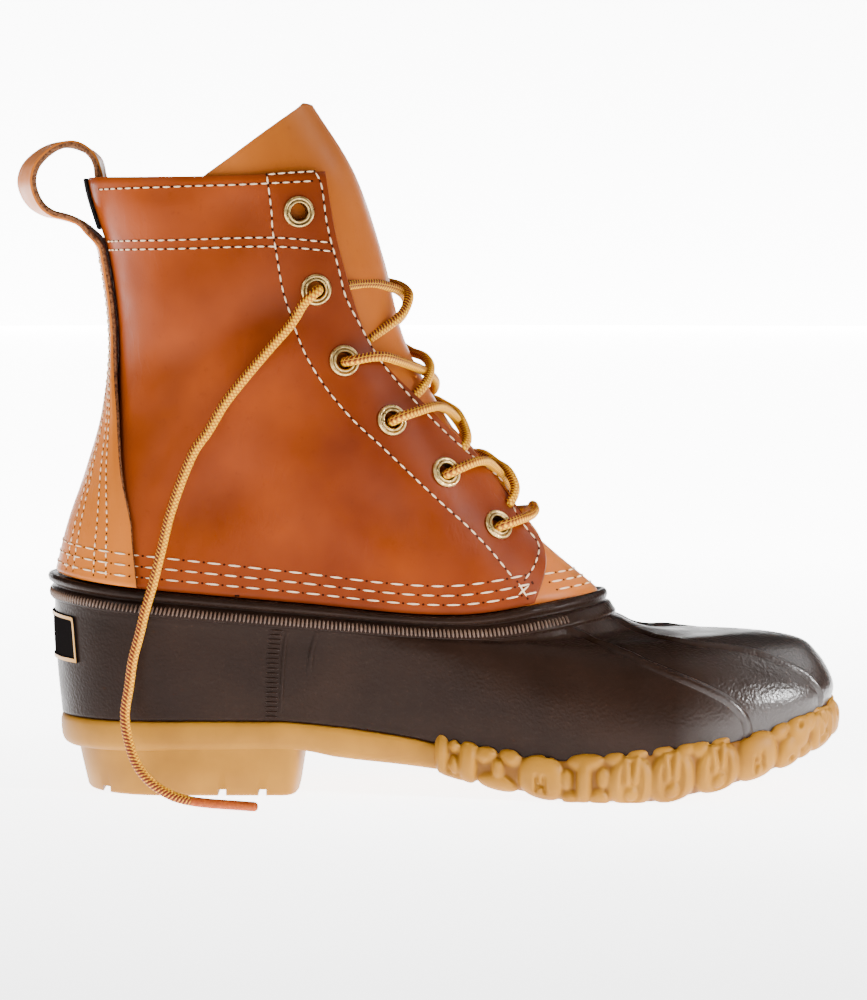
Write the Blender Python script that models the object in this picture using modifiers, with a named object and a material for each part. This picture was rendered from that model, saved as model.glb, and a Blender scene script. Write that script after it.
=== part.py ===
"""Left duck boot: leather shaft on a moulded rubber bottom with a gum sole.

Metres, +X to the toe, +Z up. The origin is on the floor under the middle of the heel block.
The near side is -Y, the boot's inner (medial) side; the far side is +Y.
"""

import math
from collections import namedtuple

import bmesh
import bpy
import numpy as np
from mathutils import Matrix, Vector

# Driving sizes of the last and of the materials
LENGTH = 0.295  # back of the rubber rim to the tip of the tread
HEEL_CENTRE = 0.055  # back of the rim to the middle of the heel block
BALL_WIDTH = 0.097  # rubber bottom across the ball
SOLE_HEIGHT = 0.028  # floor to the top of the sole at the heel
RIM_HEIGHT = 0.072  # floor to the leather's bottom edge at the side
COLLAR_HEIGHT = 0.227
SHAFT_WIDTH = 0.080
TOE_SWING = -0.006  # how far the toe tip turns to the inner side
SWING_START = 0.39  # share of the length where that turn begins

RUBBER_WALL = 0.003
FLANGE_WALL = 0.0016  # thin rubber collar that stands up inside the leather
FLANGE_TOP = 0.6  # in sections of the shaft, above its bottom edge
LEATHER_WALL = 0.0022
TONGUE_WALL = 0.0020
STRAP_WALL = 0.0026
BINDING_WALL = 0.0012
BADGE_WALL = 0.0014
BADGE_DEPTH = 0.0009  # how deep the badge sits in the rubber
INSOLE_THICKNESS = 0.004
GAP = 0.00035  # between pieces that touch in the real boot

EYELET_OUTER = 0.00575
EYELET_BORE = 0.00315
EYELET_BARREL = 0.0007
EYELET_CROWN = 0.0011
LACE_RADIUS = 0.00185
LACE_CLEAR = 0.0006

HEEL_BLOCK_WIDTH = 0.062
HEEL_BLOCK_BACK = 0.047  # share of the length
HEEL_BLOCK_FRONT = 0.316
HEEL_GROOVE_WIDTH = 0.003
HEEL_GROOVE_DEPTH = 0.0025
HEEL_GROOVES = (0.075, 0.221, 0.271)  # shares of the length

TREAD_START = 0.485  # share of the length where the chain tread begins
TREAD_FADE = 0.03
LUMP_PITCH = 0.0153
LUMP_BULGE = 0.0020
LUMP_STEPS = 4
TREAD_RECESS = 0.0022
LUG_LENGTH = 0.0110
LUG_SIDES = 6
LUG_FILL = 0.86  # part of its half of the tread that a lug takes up

SHELL_STATIONS = 20  # each side
SHAFT_STATIONS = 18
EYELET_SIDES = 10
LEATHER_ROWS = (0.012, 0.35, 0.75, 1.3, 2, 3, 4, 5, 5.6, 6)  # sections where the leather is shaped
FACET = 0.00025  # extra room between large curved faces
TONGUE_ROOM = 0.0013  # between the quarters and the tongue, which isn't stretched over them
STRIP_ROOM = 0.0012  # between the quarters and the strip up the back
THROAT_FOOT = (0.60, 0.64)  # shares of the length where the rim passes from quarter to apron
APRON_SIDE = (0.475, 0.500)  # and where the apron begins under the quarters
STRIP_SIDE = (0.02, 0.12)  # and where the strip ends beside the heel
BADGE_REACH = 0.122  # half width of the badge, as a part of the rubber's half turn
BADGE_LEVELS = (1.85, 4.9)  # its lower and upper edge, in sections of the rubber

# One row for each section. The x columns are shares of LENGTH from the back of the rim.
Section = namedtuple(
    "Section",
    "back heel_x ball_x front heel waist_near waist_far ball_near ball_far nose "
    "z_back z_mid z_ball z_front",
)
MID_X = 0.322

# Outside of the rubber bottom, from the feather line up and over the vamp to the base of the
# knurled ring. Half widths are shares of BALL_WIDTH and heights of RIM_HEIGHT.
RUBBER_TABLE = (
    (0.0140, 0.132, 0.695, 0.9850, 0.356, 0.345, 0.381, 0.479, 0.510, 2.30, 0.389, 0.382, 0.19, 0.46),
    (0.0100, 0.132, 0.695, 0.9890, 0.376, 0.366, 0.397, 0.495, 0.526, 2.30, 0.556, 0.528, 0.361, 0.535),
    (0.0075, 0.132, 0.688, 0.9830, 0.392, 0.381, 0.402, 0.490, 0.521, 2.20, 0.694, 0.653, 0.500, 0.611),
    (0.0060, 0.132, 0.678, 0.9690, 0.402, 0.392, 0.407, 0.464, 0.495, 2.00, 0.806, 0.743, 0.622, 0.699),
    (0.0055, 0.132, 0.661, 0.9460, 0.409, 0.399, 0.412, 0.428, 0.459, 1.80, 0.882, 0.792, 0.708, 0.775),
    (0.0055, 0.132, 0.634, 0.8915, 0.414, 0.404, 0.415, 0.392, 0.418, 1.60, 0.931, 0.826, 0.765, 0.812),
    (0.0055, 0.132, 0.600, 0.8170, 0.419, 0.408, 0.419, 0.376, 0.392, 1.55, 0.958, 0.847, 0.790, 0.807),
    (0.0055, 0.132, 0.566, 0.7525, 0.421, 0.412, 0.423, 0.371, 0.381, 1.70, 0.972, 0.861, 0.802, 0.831),
    (0.0055, 0.132, 0.539, 0.7135, 0.423, 0.415, 0.425, 0.376, 0.387, 2.00, 0.981, 0.872, 0.812, 0.900),
)
# Outside of the leather quarters, from the bottom edge to the collar, and on to the tongue's tip.
# Half widths are shares of SHAFT_WIDTH and heights of COLLAR_HEIGHT.
SHAFT_TABLE = (
    (0.0187, 0.132, 0.508, 0.702, 0.494, 0.488, 0.494, 0.438, 0.450, 1.9, 0.351, 0.316, 0.295, 0.336),
    (0.0349, 0.146, 0.441, 0.616, 0.481, 0.488, 0.488, 0.438, 0.438, 1.9, 0.432, 0.432, 0.432, 0.432),
    (0.0583, 0.159, 0.390, 0.562, 0.469, 0.481, 0.481, 0.450, 0.450, 2.0, 0.520, 0.520, 0.520, 0.520),
    (0.0790, 0.180, 0.339, 0.510, 0.463, 0.475, 0.475, 0.463, 0.463, 2.0, 0.617, 0.617, 0.617, 0.617),
    (0.0882, 0.200, 0.288, 0.460, 0.475, 0.481, 0.481, 0.475, 0.475, 2.1, 0.736, 0.736, 0.736, 0.736),
    (0.0760, 0.193, 0.268, 0.433, 0.488, 0.494, 0.494, 0.494, 0.494, 2.2, 0.872, 0.872, 0.872, 0.872),
    (0.0495, 0.183, 0.241, 0.396, 0.500, 0.506, 0.506, 0.506, 0.506, 2.3, 0.998, 1.000, 1.001, 1.012),
    (0.0495, 0.186, 0.203, 0.341, 0.450, 0.450, 0.450, 0.450, 0.450, 2.2, 1.128, 1.128, 1.128, 1.128),
)
COLLAR = 6  # the shaft's section at its collar
TONGUE_TIP = 7

# Where the edges of the leather pieces lie at each section of the shaft, as shares of LENGTH
Edges = namedtuple("Edges", "throat tongue strip")
EDGE_TABLE = (
    (0.610, 0.519, 0.120),
    (0.608, 0.525, 0.115),
    (0.558, 0.478, 0.104),
    (0.487, 0.403, 0.099),
    (0.406, 0.322, 0.0935),
    (0.372, 0.254, 0.0812),
    (0.3525, 0.200, 0.062),
    (0.3525, 0.326, 0.062),
)

# Side lines of the sole: shares of LENGTH and of SOLE_HEIGHT
SOLE_TOP = (
    (0.0136, 1.000), (0.285, 0.993), (0.366, 0.918), (0.414, 0.850), (0.461, 0.768),
    (0.492, 0.696), (0.542, 0.589), (0.593, 0.521), (0.641, 0.493), (0.695, 0.521),
    (0.759, 0.600), (0.848, 0.732), (0.912, 0.893), (0.949, 1.011), (0.986, 1.179),
)
SOLE_BOTTOM = (
    (0.0136, 0.589), (0.315, 0.600), (0.366, 0.507), (0.461, 0.393), (0.498, 0.339),
    (0.542, 0.211), (0.593, 0.104), (0.654, 0.000), (0.749, 0.000), (0.797, 0.079),
    (0.844, 0.189), (0.892, 0.332), (0.942, 0.514), (0.986, 0.714),
)
# Steps of the sole's side from the tread's recess outwards and up: offset from the feather line
# in metres, share of the side's height, and rise in metres, at the heel and at the tread
SoleStep = namedtuple("SoleStep", "heel_out tread_out share heel_rise tread_rise lump")
SOLE_STEPS = (
    SoleStep(-0.0110, -0.0110, 0.0, 0.0, TREAD_RECESS, 0.0),
    SoleStep(-0.0100, -0.0100, 0.0, 0.0, 0.0, 0.0),
    SoleStep(-0.0055, -0.0040, 0.0, 0.0, 0.0, 0.3),
    SoleStep(-0.0012, 0.0018, 0.30, 0.0, 0.0, 1.0),
    SoleStep(0.0000, 0.0026, 1.0, -0.0004, 0.0, 0.9),
    SoleStep(-0.0006, 0.0013, 1.0, 0.0, 0.0012, 0.3),
    SoleStep(-0.0020, 0.0005, 1.0, 0.0, 0.0, 0.0),
)
# Rim of the rubber above its last section: share of the way to the leather's edge, and step
# outwards in metres. Knurled ring, groove, then the bead that the leather stands on.
RIM_STEPS = (
    (0.05, 0.0013), (0.45, 0.0013), (0.50, 0.0002), (0.60, 0.0002), (0.67, 0.0024), (0.95, 0.0022),
)

# Moulded ridges of one side: share of LENGTH and section of the rubber along each
SIDE_RIDGE = (
    (0.660, 7.2), (0.712, 4.3), (0.773, 3.05), (0.821, 2.27), (0.847, 1.79), (0.862, 1.10),
    (0.868, 0.40),
)
BAND_RIDGE = (
    (0.702, 7.7), (0.750, 6.5), (0.812, 4.5), (0.863, 3.93), (0.909, 3.34), (0.935, 2.80),
    (0.953, 1.85), (0.963, 0.6),
)
RIDGE_RADIUS = 0.0013

# Eyelets of one side, from the top: shares of LENGTH and of COLLAR_HEIGHT
EYELETS = (
    (0.320, 0.940), (0.340, 0.819), (0.374, 0.705), (0.433, 0.609), (0.500, 0.524), (0.564, 0.438),
)
LACED_FROM = 1  # the top eyelet is empty
LACE_STOP = 0.91  # where the last crossings stop short of their eyelets
LACE_DIP = 0.0015  # how much lower the crossings lie over the tongue

# Outer face of the pull loop from the strip's top round to the inside of the collar, in metres
# from the middle of the collar's back edge
LOOP_PATH = (
    (0.0000, -0.0208), (-0.0038, -0.0176), (-0.0090, -0.0157), (-0.0148, -0.0143),
    (-0.0194, -0.0114), (-0.0225, -0.0068), (-0.0238, -0.0009), (-0.0225, 0.0042),
    (-0.0179, 0.0096), (-0.0118, 0.0130), (-0.0056, 0.0137), (-0.0002, 0.0118),
    (0.0044, 0.0077),
)
LOOP_WIDTH = 0.022
STRIP_TOP = 5.1  # section of the shaft where the strip leaves the leather
TAPE_FOOT = 5.34  # and where the black tape above it begins
TAPE_REACH = 0.06  # half width of the tape, as a part of the shaft's half turn
LOOP_NARROWING = 0.88
LOOP_TUCK = 0.45  # how far the loop's end goes down inside the collar, in sections of the shaft

# Free end of the lace, from the second eyelet to the floor: points of its route in metres
LACE_ROUTE = (
    (0.0454, -0.0370, 0.1858), (0.0463, -0.0402, 0.1858), (0.0442, -0.0422, 0.1840),
    (0.0409, -0.0424, 0.1808), (0.0366, -0.0426, 0.1738), (0.0285, -0.0431, 0.1645),
    (0.0206, -0.0436, 0.1552), (0.0125, -0.0440, 0.1450), (0.0065, -0.0444, 0.1350),
    (0.0014, -0.0447, 0.1277), (-0.0034, -0.0449, 0.1166), (-0.0076, -0.0451, 0.1042),
    (-0.0105, -0.0453, 0.0924), (-0.0139, -0.0457, 0.0791), (-0.0167, -0.0461, 0.0694),
    (-0.0185, -0.0464, 0.0618), (-0.0211, -0.0468, 0.0519), (-0.0225, -0.0474, 0.0421),
    (-0.0239, -0.0484, 0.0324), (-0.0226, -0.0502, 0.0232), (-0.0193, -0.0528, 0.0145),
    (-0.0140, -0.0556, 0.0085),
    (-0.0070, -0.0580, 0.0044), (0.0000, -0.0600, 0.0026), (0.0074, -0.0632, 0.0021),
    (0.0165, -0.0676, 0.0021), (0.0250, -0.0720, 0.0021),
)
LACE_SPACING = 0.0080
STRAND_SPACING = 0.0135

COLOURS = {  # base colour, roughness, metallic
    "gum": ((0.61, 0.37, 0.11), 0.6, 0.0),
    "insole": ((0.35, 0.28, 0.20), 0.9, 0.0),
    "rubber": ((0.055, 0.032, 0.022), 0.35, 0.0),
    "leather": ((0.52, 0.17, 0.035), 0.5, 0.0),
    "tongue": ((0.55, 0.19, 0.05), 0.55, 0.0),
    "strap": ((0.42, 0.13, 0.03), 0.55, 0.0),
    "tape": ((0.01, 0.01, 0.01), 0.8, 0.0),
    "badge": ((0.012, 0.010, 0.009), 0.35, 0.0),
    "brass": ((0.55, 0.38, 0.14), 0.35, 1.0),
    "lace": ((0.75, 0.40, 0.06), 0.7, 0.0),
}


def along(share):
    """World x of a share of the length."""
    return share * LENGTH - HEEL_CENTRE


def through(xs, ys, x):
    """A smooth curve through the points (xs, ys) that doesn't overshoot them, read at x."""
    xs = np.asarray(xs, float)
    ys = np.asarray(ys, float)
    step = np.diff(xs)
    rise = np.diff(ys) / step
    slope = np.concatenate([rise[:1], np.zeros(len(xs) - 2), rise[-1:]])
    same_way = rise[:-1] * rise[1:] > 0
    slope[1:-1][same_way] = (2 * rise[:-1] * rise[1:])[same_way] / (rise[:-1] + rise[1:])[same_way]
    x = np.clip(x, xs[0], xs[-1])
    i = np.clip(np.searchsorted(xs, x, side="right") - 1, 0, len(step) - 1)
    u = (x - xs[i]) / step[i]
    ends = ys[i] * (1 + 2 * u) * (1 - u) ** 2 + ys[i + 1] * u**2 * (3 - 2 * u)
    return ends + step[i] * (slope[i] * u * (1 - u) ** 2 + slope[i + 1] * u**2 * (u - 1))


def ease(low, high, x):
    """0 below low, 1 above high, smooth between."""
    u = np.clip((x - low) / (high - low), 0, 1)
    return u * u * (3 - 2 * u)


def line_height(line, x):
    """World z of one of the sole's side lines at world x."""
    return SOLE_HEIGHT * through(*zip(*line), (x + HEEL_CENTRE) / LENGTH)


def swing(x):
    """Sideways shift of the foot's middle line at world x."""
    start = along(SWING_START)
    return TOE_SWING * (np.clip(x - start, 0, None) / (along(1) - start)) ** 2


def ring(section, width, height, t):
    """Points of one section. t runs from -1 at the toe along the near side, 0 at the back, to 1."""
    t = (np.asarray(t, float) + 1) % 2 - 1
    back, heel_x, ball_x, front = (along(share) for share in section[:4])
    waist_x = (heel_x + ball_x) / 2
    x = back + (front - back) * (1 - np.cos(np.pi * np.abs(t))) / 2
    stations = (heel_x, waist_x, ball_x)
    near = through(stations, (section.heel, section.waist_near, section.ball_near), x)
    far = through(stations, (section.heel, section.waist_far, section.ball_far), x)
    half = width * np.where(t < 0, near, far)
    heel_end = np.sqrt(np.clip(1 - (np.clip(heel_x - x, 0, None) / (heel_x - back)) ** 2, 0, 1))
    toe_share = np.clip(x - ball_x, 0, None) / (front - ball_x)
    toe_end = np.clip(1 - toe_share**section.nose, 0, 1) ** (1 / section.nose)
    y = np.sign(t) * half * heel_end * toe_end + swing(x)
    heights = (section.z_back, section.z_mid, section.z_ball, section.z_front)
    mid_x = min(along(MID_X), (heel_x + ball_x) / 2)
    z = height * through((back, mid_x, ball_x, front), heights, x)
    return np.stack([x, y, z], axis=-1)


def between(rings, v):
    """Reads a stack of rings at fractional places v, on smooth curves from ring to ring."""
    last = len(rings) - 1
    v = np.clip(v, 0, last)
    i = np.minimum(v.astype(int), last - 1)
    u = (v - i)[..., None]
    slopes = np.gradient(rings, axis=0)

    def pick(stack, index):
        return np.take_along_axis(stack, index[None, ..., None], axis=0)[0]

    low, high = pick(rings, i), pick(rings, i + 1)
    low_slope, high_slope = pick(slopes, i), pick(slopes, i + 1)
    blend = low * (1 + 2 * u) * (1 - u) ** 2 + high * u**2 * (3 - 2 * u)
    return blend + low_slope * u * (1 - u) ** 2 + high_slope * u**2 * (u - 1)


RUBBER = [Section(*row) for row in RUBBER_TABLE]
SHAFT = [Section(*row) for row in SHAFT_TABLE]
EDGES = [Edges(*row) for row in EDGE_TABLE]


def rubber_at(t, v):
    """Outside of the rubber bottom: v counts its sections from the feather line."""
    t, v = np.broadcast_arrays(np.asarray(t, float), np.asarray(v, float))
    rings = np.stack([ring(row, BALL_WIDTH, RIM_HEIGHT, t) for row in RUBBER])
    rings[0, ..., 2] = line_height(SOLE_TOP, rings[0, ..., 0]) + GAP + FACET / 2
    return between(rings, v)


def shaft_at(t, v):
    """Outside of the leather quarters: v counts the shaft's sections from the bottom edge."""
    t, v = np.broadcast_arrays(np.asarray(t, float), np.asarray(v, float))
    rings = np.stack([ring(row, SHAFT_WIDTH, COLLAR_HEIGHT, t) for row in SHAFT])
    return between(rings, v)


def outward(surface, t, v, last):
    """Unit normals of a surface function, away from the foot."""
    turn, climb = 0.006, 0.03
    t, v = np.broadcast_arrays(np.asarray(t, float), np.asarray(v, float))
    across = surface(t + turn, v) - surface(t - turn, v)
    up = surface(t, np.minimum(v + climb, last)) - surface(t, np.maximum(v - climb, 0))
    normal = np.cross(up, across)
    return normal / np.linalg.norm(normal, axis=-1, keepdims=True)


def off_rubber(t, v, distance):
    return rubber_at(t, v) + distance * outward(rubber_at, t, v, len(RUBBER) - 1)


def off_shaft(t, v, distance):
    distance = np.asarray(distance, float)[..., None]
    return shaft_at(t, v) + distance * outward(shaft_at, t, v, len(SHAFT) - 1)


def place_of(section, share):
    """The |t| at which a section reaches this share of the length."""
    part = (share - section.back) / (section.front - section.back)
    return math.acos(1 - 2 * min(max(part, 0), 1)) / math.pi


def edge_place(name, v):
    """|t| of a leather edge at fractional sections v of the shaft."""
    places = [place_of(row, getattr(edge, name)) for row, edge in zip(SHAFT, EDGES)]
    return through(range(len(SHAFT)), places, v)


def shaft_level(height_share):
    """The shaft's fractional section at a share of the collar's height, above its first section."""
    return float(through([row.z_mid for row in SHAFT], range(len(SHAFT)), height_share))


def material(name):
    colour, roughness, metallic = COLOURS[name]
    made = bpy.data.materials.get(name) or bpy.data.materials.new(name)
    made.use_nodes = True
    shader = made.node_tree.nodes["Principled BSDF"]
    shader.inputs["Base Color"].default_value = (*colour, 1)
    shader.inputs["Roughness"].default_value = roughness
    shader.inputs["Metallic"].default_value = metallic
    return made


def add(name, mesh, finish, collection):
    """Puts a mesh in the scene as one named piece."""
    piece = bpy.data.objects.new(name, mesh)
    collection.objects.link(piece)
    if finish:
        mesh.materials.append(material(finish))
        mesh.shade_smooth()
        mesh.set_sharp_from_angle(angle=math.radians(35))
    else:
        piece.hide_render = True
        piece.display_type = "WIRE"
    return piece


def grid_mesh(name, points, close_rows=False, close_columns=False, caps=False):
    """A mesh over rows of points. Caps join each closed row's two sides across the foot."""
    rows, columns = points.shape[:2]
    bm = bmesh.new()
    grid = [[bm.verts.new(p) for p in row] for row in points]
    for i in range(rows if close_rows else rows - 1):
        for j in range(columns if close_columns else columns - 1):
            low, high = grid[i], grid[(i + 1) % rows]
            k = (j + 1) % columns
            bm.faces.new((low[j], high[j], high[k], low[k]))
    if caps:
        for row in (grid[0], grid[-1]):
            half = columns // 2
            bm.faces.new((row[0], row[1], row[-1]))
            bm.faces.new((row[half - 1], row[half], row[half + 1]))
            for j in range(1, half - 1):
                bm.faces.new((row[j], row[j + 1], row[columns - j - 1], row[columns - j]))
    mesh = bpy.data.meshes.new(name)
    if close_columns:
        bmesh.ops.recalc_face_normals(bm, faces=bm.faces)
    bm.to_mesh(mesh)
    bm.free()
    return mesh


def sheet(name, points, wall, finish, collection):
    """A leather or tape sheet: its outer face with Solidify inwards."""
    piece = add(name, grid_mesh(name, points), finish, collection)
    solid = piece.modifiers.new("Wall", "SOLIDIFY")
    solid.thickness = wall
    solid.offset = -1
    solid.use_even_offset = True
    return piece


def boolean(piece, cutter, operation, name):
    made = piece.modifiers.new(name, "BOOLEAN")
    made.operation = operation
    made.solver = "EXACT"
    made.object = cutter


def joined(name, shapes, collection):
    """One hidden helper mesh from several closed shapes that don't touch."""
    mesh = bpy.data.meshes.new(name)
    bm = bmesh.new()
    for shape in shapes:
        shape(bm)
    bm.to_mesh(mesh)
    bm.free()
    return add(name, mesh, None, collection)


def full_turn(stations):
    """t of a closed ring with this many stations on each side."""
    return -1 + np.arange(2 * stations) / stations


def make_rubber_shell(parts, cutters):
    """Hollow moulded bottom: outer wall, rim, inner collar and inner wall are one closed loop."""
    t = full_turn(SHELL_STATIONS)
    last = len(RUBBER) - 1
    outer = [rubber_at(t, v) for v in range(last + 1)]
    edge = shaft_at(t, 0)
    away = outward(shaft_at, t, 0, len(SHAFT) - 1)
    bare = ease(along(THROAT_FOOT[0]), along(THROAT_FOOT[1]), edge[:, 0])[:, None]
    behind = 1 - ease(along(STRIP_SIDE[0]), along(STRIP_SIDE[1]), edge[:, 0])[:, None]
    top = edge - away * bare * (LEATHER_WALL + TONGUE_ROOM)
    rim = []
    for share, step in RIM_STEPS:
        lift = step * (1 - bare) + share * behind * (STRAP_WALL + STRIP_ROOM)
        rim.append(outer[-1] + (top - outer[-1]) * share + away * lift)
    covered = ease(along(APRON_SIDE[0]), along(APRON_SIDE[1]), edge[:, 0])
    depth = LEATHER_WALL + GAP + FACET + covered * (TONGUE_WALL + TONGUE_ROOM)
    ledge = off_shaft(t, 0, -depth) - np.array((0, 0, GAP))
    flange = [
        ledge,
        off_shaft(t, FLANGE_TOP, -depth),
        off_shaft(t, FLANGE_TOP, -depth - FLANGE_WALL),
        off_shaft(t, 0, -depth - FLANGE_WALL),
    ]
    inner = [off_rubber(t, v, -RUBBER_WALL) for v in (8, 6, 4, 3, 1, 0)]
    inner[-1][:, 2] = outer[0][:, 2]
    loop = np.stack(outer + rim + flange + inner)
    mesh = grid_mesh("rubber_shell", loop, close_rows=True, close_columns=True)
    shell = add("rubber_shell", mesh, "rubber", parts)
    recess = badge_sheet("badge_recess", 0.0005, 0.004, 0.004 + BADGE_DEPTH + GAP, None, cutters)
    boolean(shell, recess, "DIFFERENCE", "Badge recess")
    for ridge, path in (("side", SIDE_RIDGE), ("band", BAND_RIDGE)):
        for side, sign in (("near", -1), ("far", 1)):
            name = f"{side}_{ridge}_ridge"
            route = [rubber_at(sign * surface_turn(RUBBER, share, v), v) for share, v in path]
            rib = add(name, mesh_of(tube(name, route, RIDGE_RADIUS, 1)), None, cutters)
            boolean(shell, rib, "UNION", name)


def badge_sheet(name, margin, lift, wall, finish, collection):
    """A sheet that follows the back of the rubber over the badge, grown by a margin."""
    reach = BADGE_REACH + margin * 4
    low, high = BADGE_LEVELS
    t = np.linspace(-reach, reach, 9)
    v = np.linspace(low - margin * 90, high + margin * 200, 4)
    return sheet(name, off_rubber(t[None, :], v[:, None], lift), wall, finish, collection)


def make_heel_badge(parts):
    badge_sheet("heel_badge", 0, BADGE_WALL - BADGE_DEPTH, BADGE_WALL, "badge", parts)


def make_leather_shaft(parts, cutters):
    """Quarters as one bent wall from one throat edge round the back to the other."""
    v = np.array(LEATHER_ROWS)
    share = np.linspace(-1, 1, 2 * SHAFT_STATIONS + 1)
    t = share[None, :] * edge_place("throat", v)[:, None]
    shaft = sheet("leather_shaft", shaft_at(t, v[:, None]), LEATHER_WALL, "leather", parts)
    holes = joined("eyelet_holes", [hole_at(*eyelet) for eyelet in eyelet_places()], cutters)
    boolean(shaft, holes, "DIFFERENCE", "Eyelet holes")


def eyelet_places():
    """(name, centre, outward direction) of each eyelet, on the leather's outer face."""
    found = []
    for side, sign in (("near", -1), ("far", 1)):
        for number, (share, height) in enumerate(EYELETS, start=1):
            v = shaft_level(height)
            t = sign * surface_turn(SHAFT, share, v)
            centre = shaft_at(t, v)
            found.append((f"eyelet_{side}_{number}", centre, outward(shaft_at, t, v, COLLAR)))
    return found


def surface_turn(sections, share, v):
    """|t| where the surface over these sections reaches a share of the length at section v."""
    places = [place_of(row, share) for row in sections]
    return float(through(range(len(sections)), places, v))


def facing(centre, direction):
    """A placing matrix whose local Z is the given direction, level with the floor across."""
    turn = Vector(direction).to_track_quat("Z", "Y").to_matrix().to_4x4()
    return Matrix.Translation(Vector(centre)) @ turn


def hole_at(name, centre, direction):
    radius = EYELET_BORE + EYELET_BARREL + GAP + 0.0001

    def cut(bm):
        bmesh.ops.create_cone(
            bm, cap_ends=True, segments=EYELET_SIDES, radius1=radius, radius2=radius,
            depth=0.016, matrix=facing(centre, direction),
        )

    return cut


def make_eyelets(parts):
    """Rolled brass rings, each a turned profile: barrel through the leather, crown outside."""
    barrel = EYELET_BORE + EYELET_BARREL
    profile = (
        (EYELET_BORE, EYELET_CROWN * 0.8 + GAP),
        ((EYELET_BORE + EYELET_OUTER) / 2, EYELET_CROWN + GAP),
        (EYELET_OUTER, GAP),
        (barrel, GAP),
        (barrel, -LEATHER_WALL),
        (EYELET_BORE, -LEATHER_WALL),
    )
    bm = bmesh.new()
    ring_verts = [bm.verts.new((r, 0, z)) for r, z in profile]
    edges = [bm.edges.new((a, b)) for a, b in zip(ring_verts, ring_verts[1:] + ring_verts[:1])]
    bmesh.ops.spin(
        bm, geom=ring_verts + edges, cent=(0, 0, 0), axis=(0, 0, 1), angle=math.tau,
        steps=EYELET_SIDES, use_merge=True,
    )
    bmesh.ops.remove_doubles(bm, verts=bm.verts, dist=1e-6)
    bmesh.ops.recalc_face_normals(bm, faces=bm.faces)
    mesh = bpy.data.meshes.new("eyelet")
    bm.to_mesh(mesh)
    bm.free()
    for name, centre, direction in eyelet_places():
        piece = add(name, mesh.copy(), "brass", parts)
        piece.matrix_world = facing(centre, direction)


def make_tongue(parts):
    """Apron and tongue as one sheet inside the quarters, cut to a slope on each side of the tip."""
    v = np.array((*LEATHER_ROWS, 6.35, 6.7, TONGUE_TIP))
    share = np.linspace(-1, 1, 15)
    reach = 1 - edge_place("tongue", v)
    t = 1 + share[None, :] * reach[:, None]
    points = off_shaft(t, v[:, None], -(LEATHER_WALL + TONGUE_ROOM))
    sheet("tongue", points, TONGUE_WALL, "tongue", parts)


def make_backstay_loop(parts):
    """Strip up the back seam that turns over into the pull loop and goes down inside the collar."""
    lift = STRIP_ROOM + STRAP_WALL
    v = np.array((0.03, *LEATHER_ROWS[1:8], STRIP_TOP))
    share = np.linspace(-1, 1, 9)
    t = share[None, :] * edge_place("strip", v)[:, None]
    strip = off_shaft(t, v[:, None], lift)
    half_turn = math.asin(LOOP_WIDTH / SHAFT_WIDTH) / math.pi * LOOP_NARROWING
    tuck = np.array((COLLAR, COLLAR - LOOP_TUCK / 2, COLLAR - LOOP_TUCK))
    inside = -(LEATHER_WALL + GAP + FACET + STRAP_WALL)
    tucked = off_shaft(share[None, :] * half_turn, tuck[:, None], inside)
    collar_back = shaft_at(0, COLLAR)
    loop = []
    for along_x, up_z in LOOP_PATH:
        row = np.zeros((len(share), 3))
        row[:, 0] = collar_back[0] + along_x
        row[:, 1] = share * LOOP_WIDTH / 2
        row[:, 2] = collar_back[2] + up_z
        loop.append(row)
    points = np.concatenate([strip, np.stack(loop), tucked])
    sheet("backstay_loop", points, STRAP_WALL, "strap", parts)


def make_back_binding(parts):
    """Black tape over the top of the back seam, above where the strip leaves the leather."""
    v = np.linspace(TAPE_FOOT, COLLAR, 5)
    t = np.linspace(-TAPE_REACH, TAPE_REACH, 5)
    points = off_shaft(t[None, :], v[:, None], GAP + BINDING_WALL)
    sheet("back_binding", points, BINDING_WALL, "tape", parts)


def sole_stations():
    """t of the sole's stations on the far side, close together round the tread's lumps."""
    t = np.linspace(0, 1, 2001)
    outline = rubber_at(t, 0)
    lengths = np.linalg.norm(np.diff(outline[:, :2], axis=0), axis=1)
    run = np.concatenate([[0], np.cumsum(lengths)])
    start = float(np.interp(along(TREAD_START), outline[:, 0], run))
    lumps = round((run[-1] - start) / LUMP_PITCH)
    tread = np.linspace(start, run[-1], lumps * LUMP_STEPS + 1)
    plain = np.linspace(0, start, 12)[:-1]
    stops = np.concatenate([plain, tread])
    wave = np.abs(np.sin(np.pi * (stops - start) * lumps / (run[-1] - start)))
    wave[: len(plain)] = 0
    return np.interp(stops, run, t), wave


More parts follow.
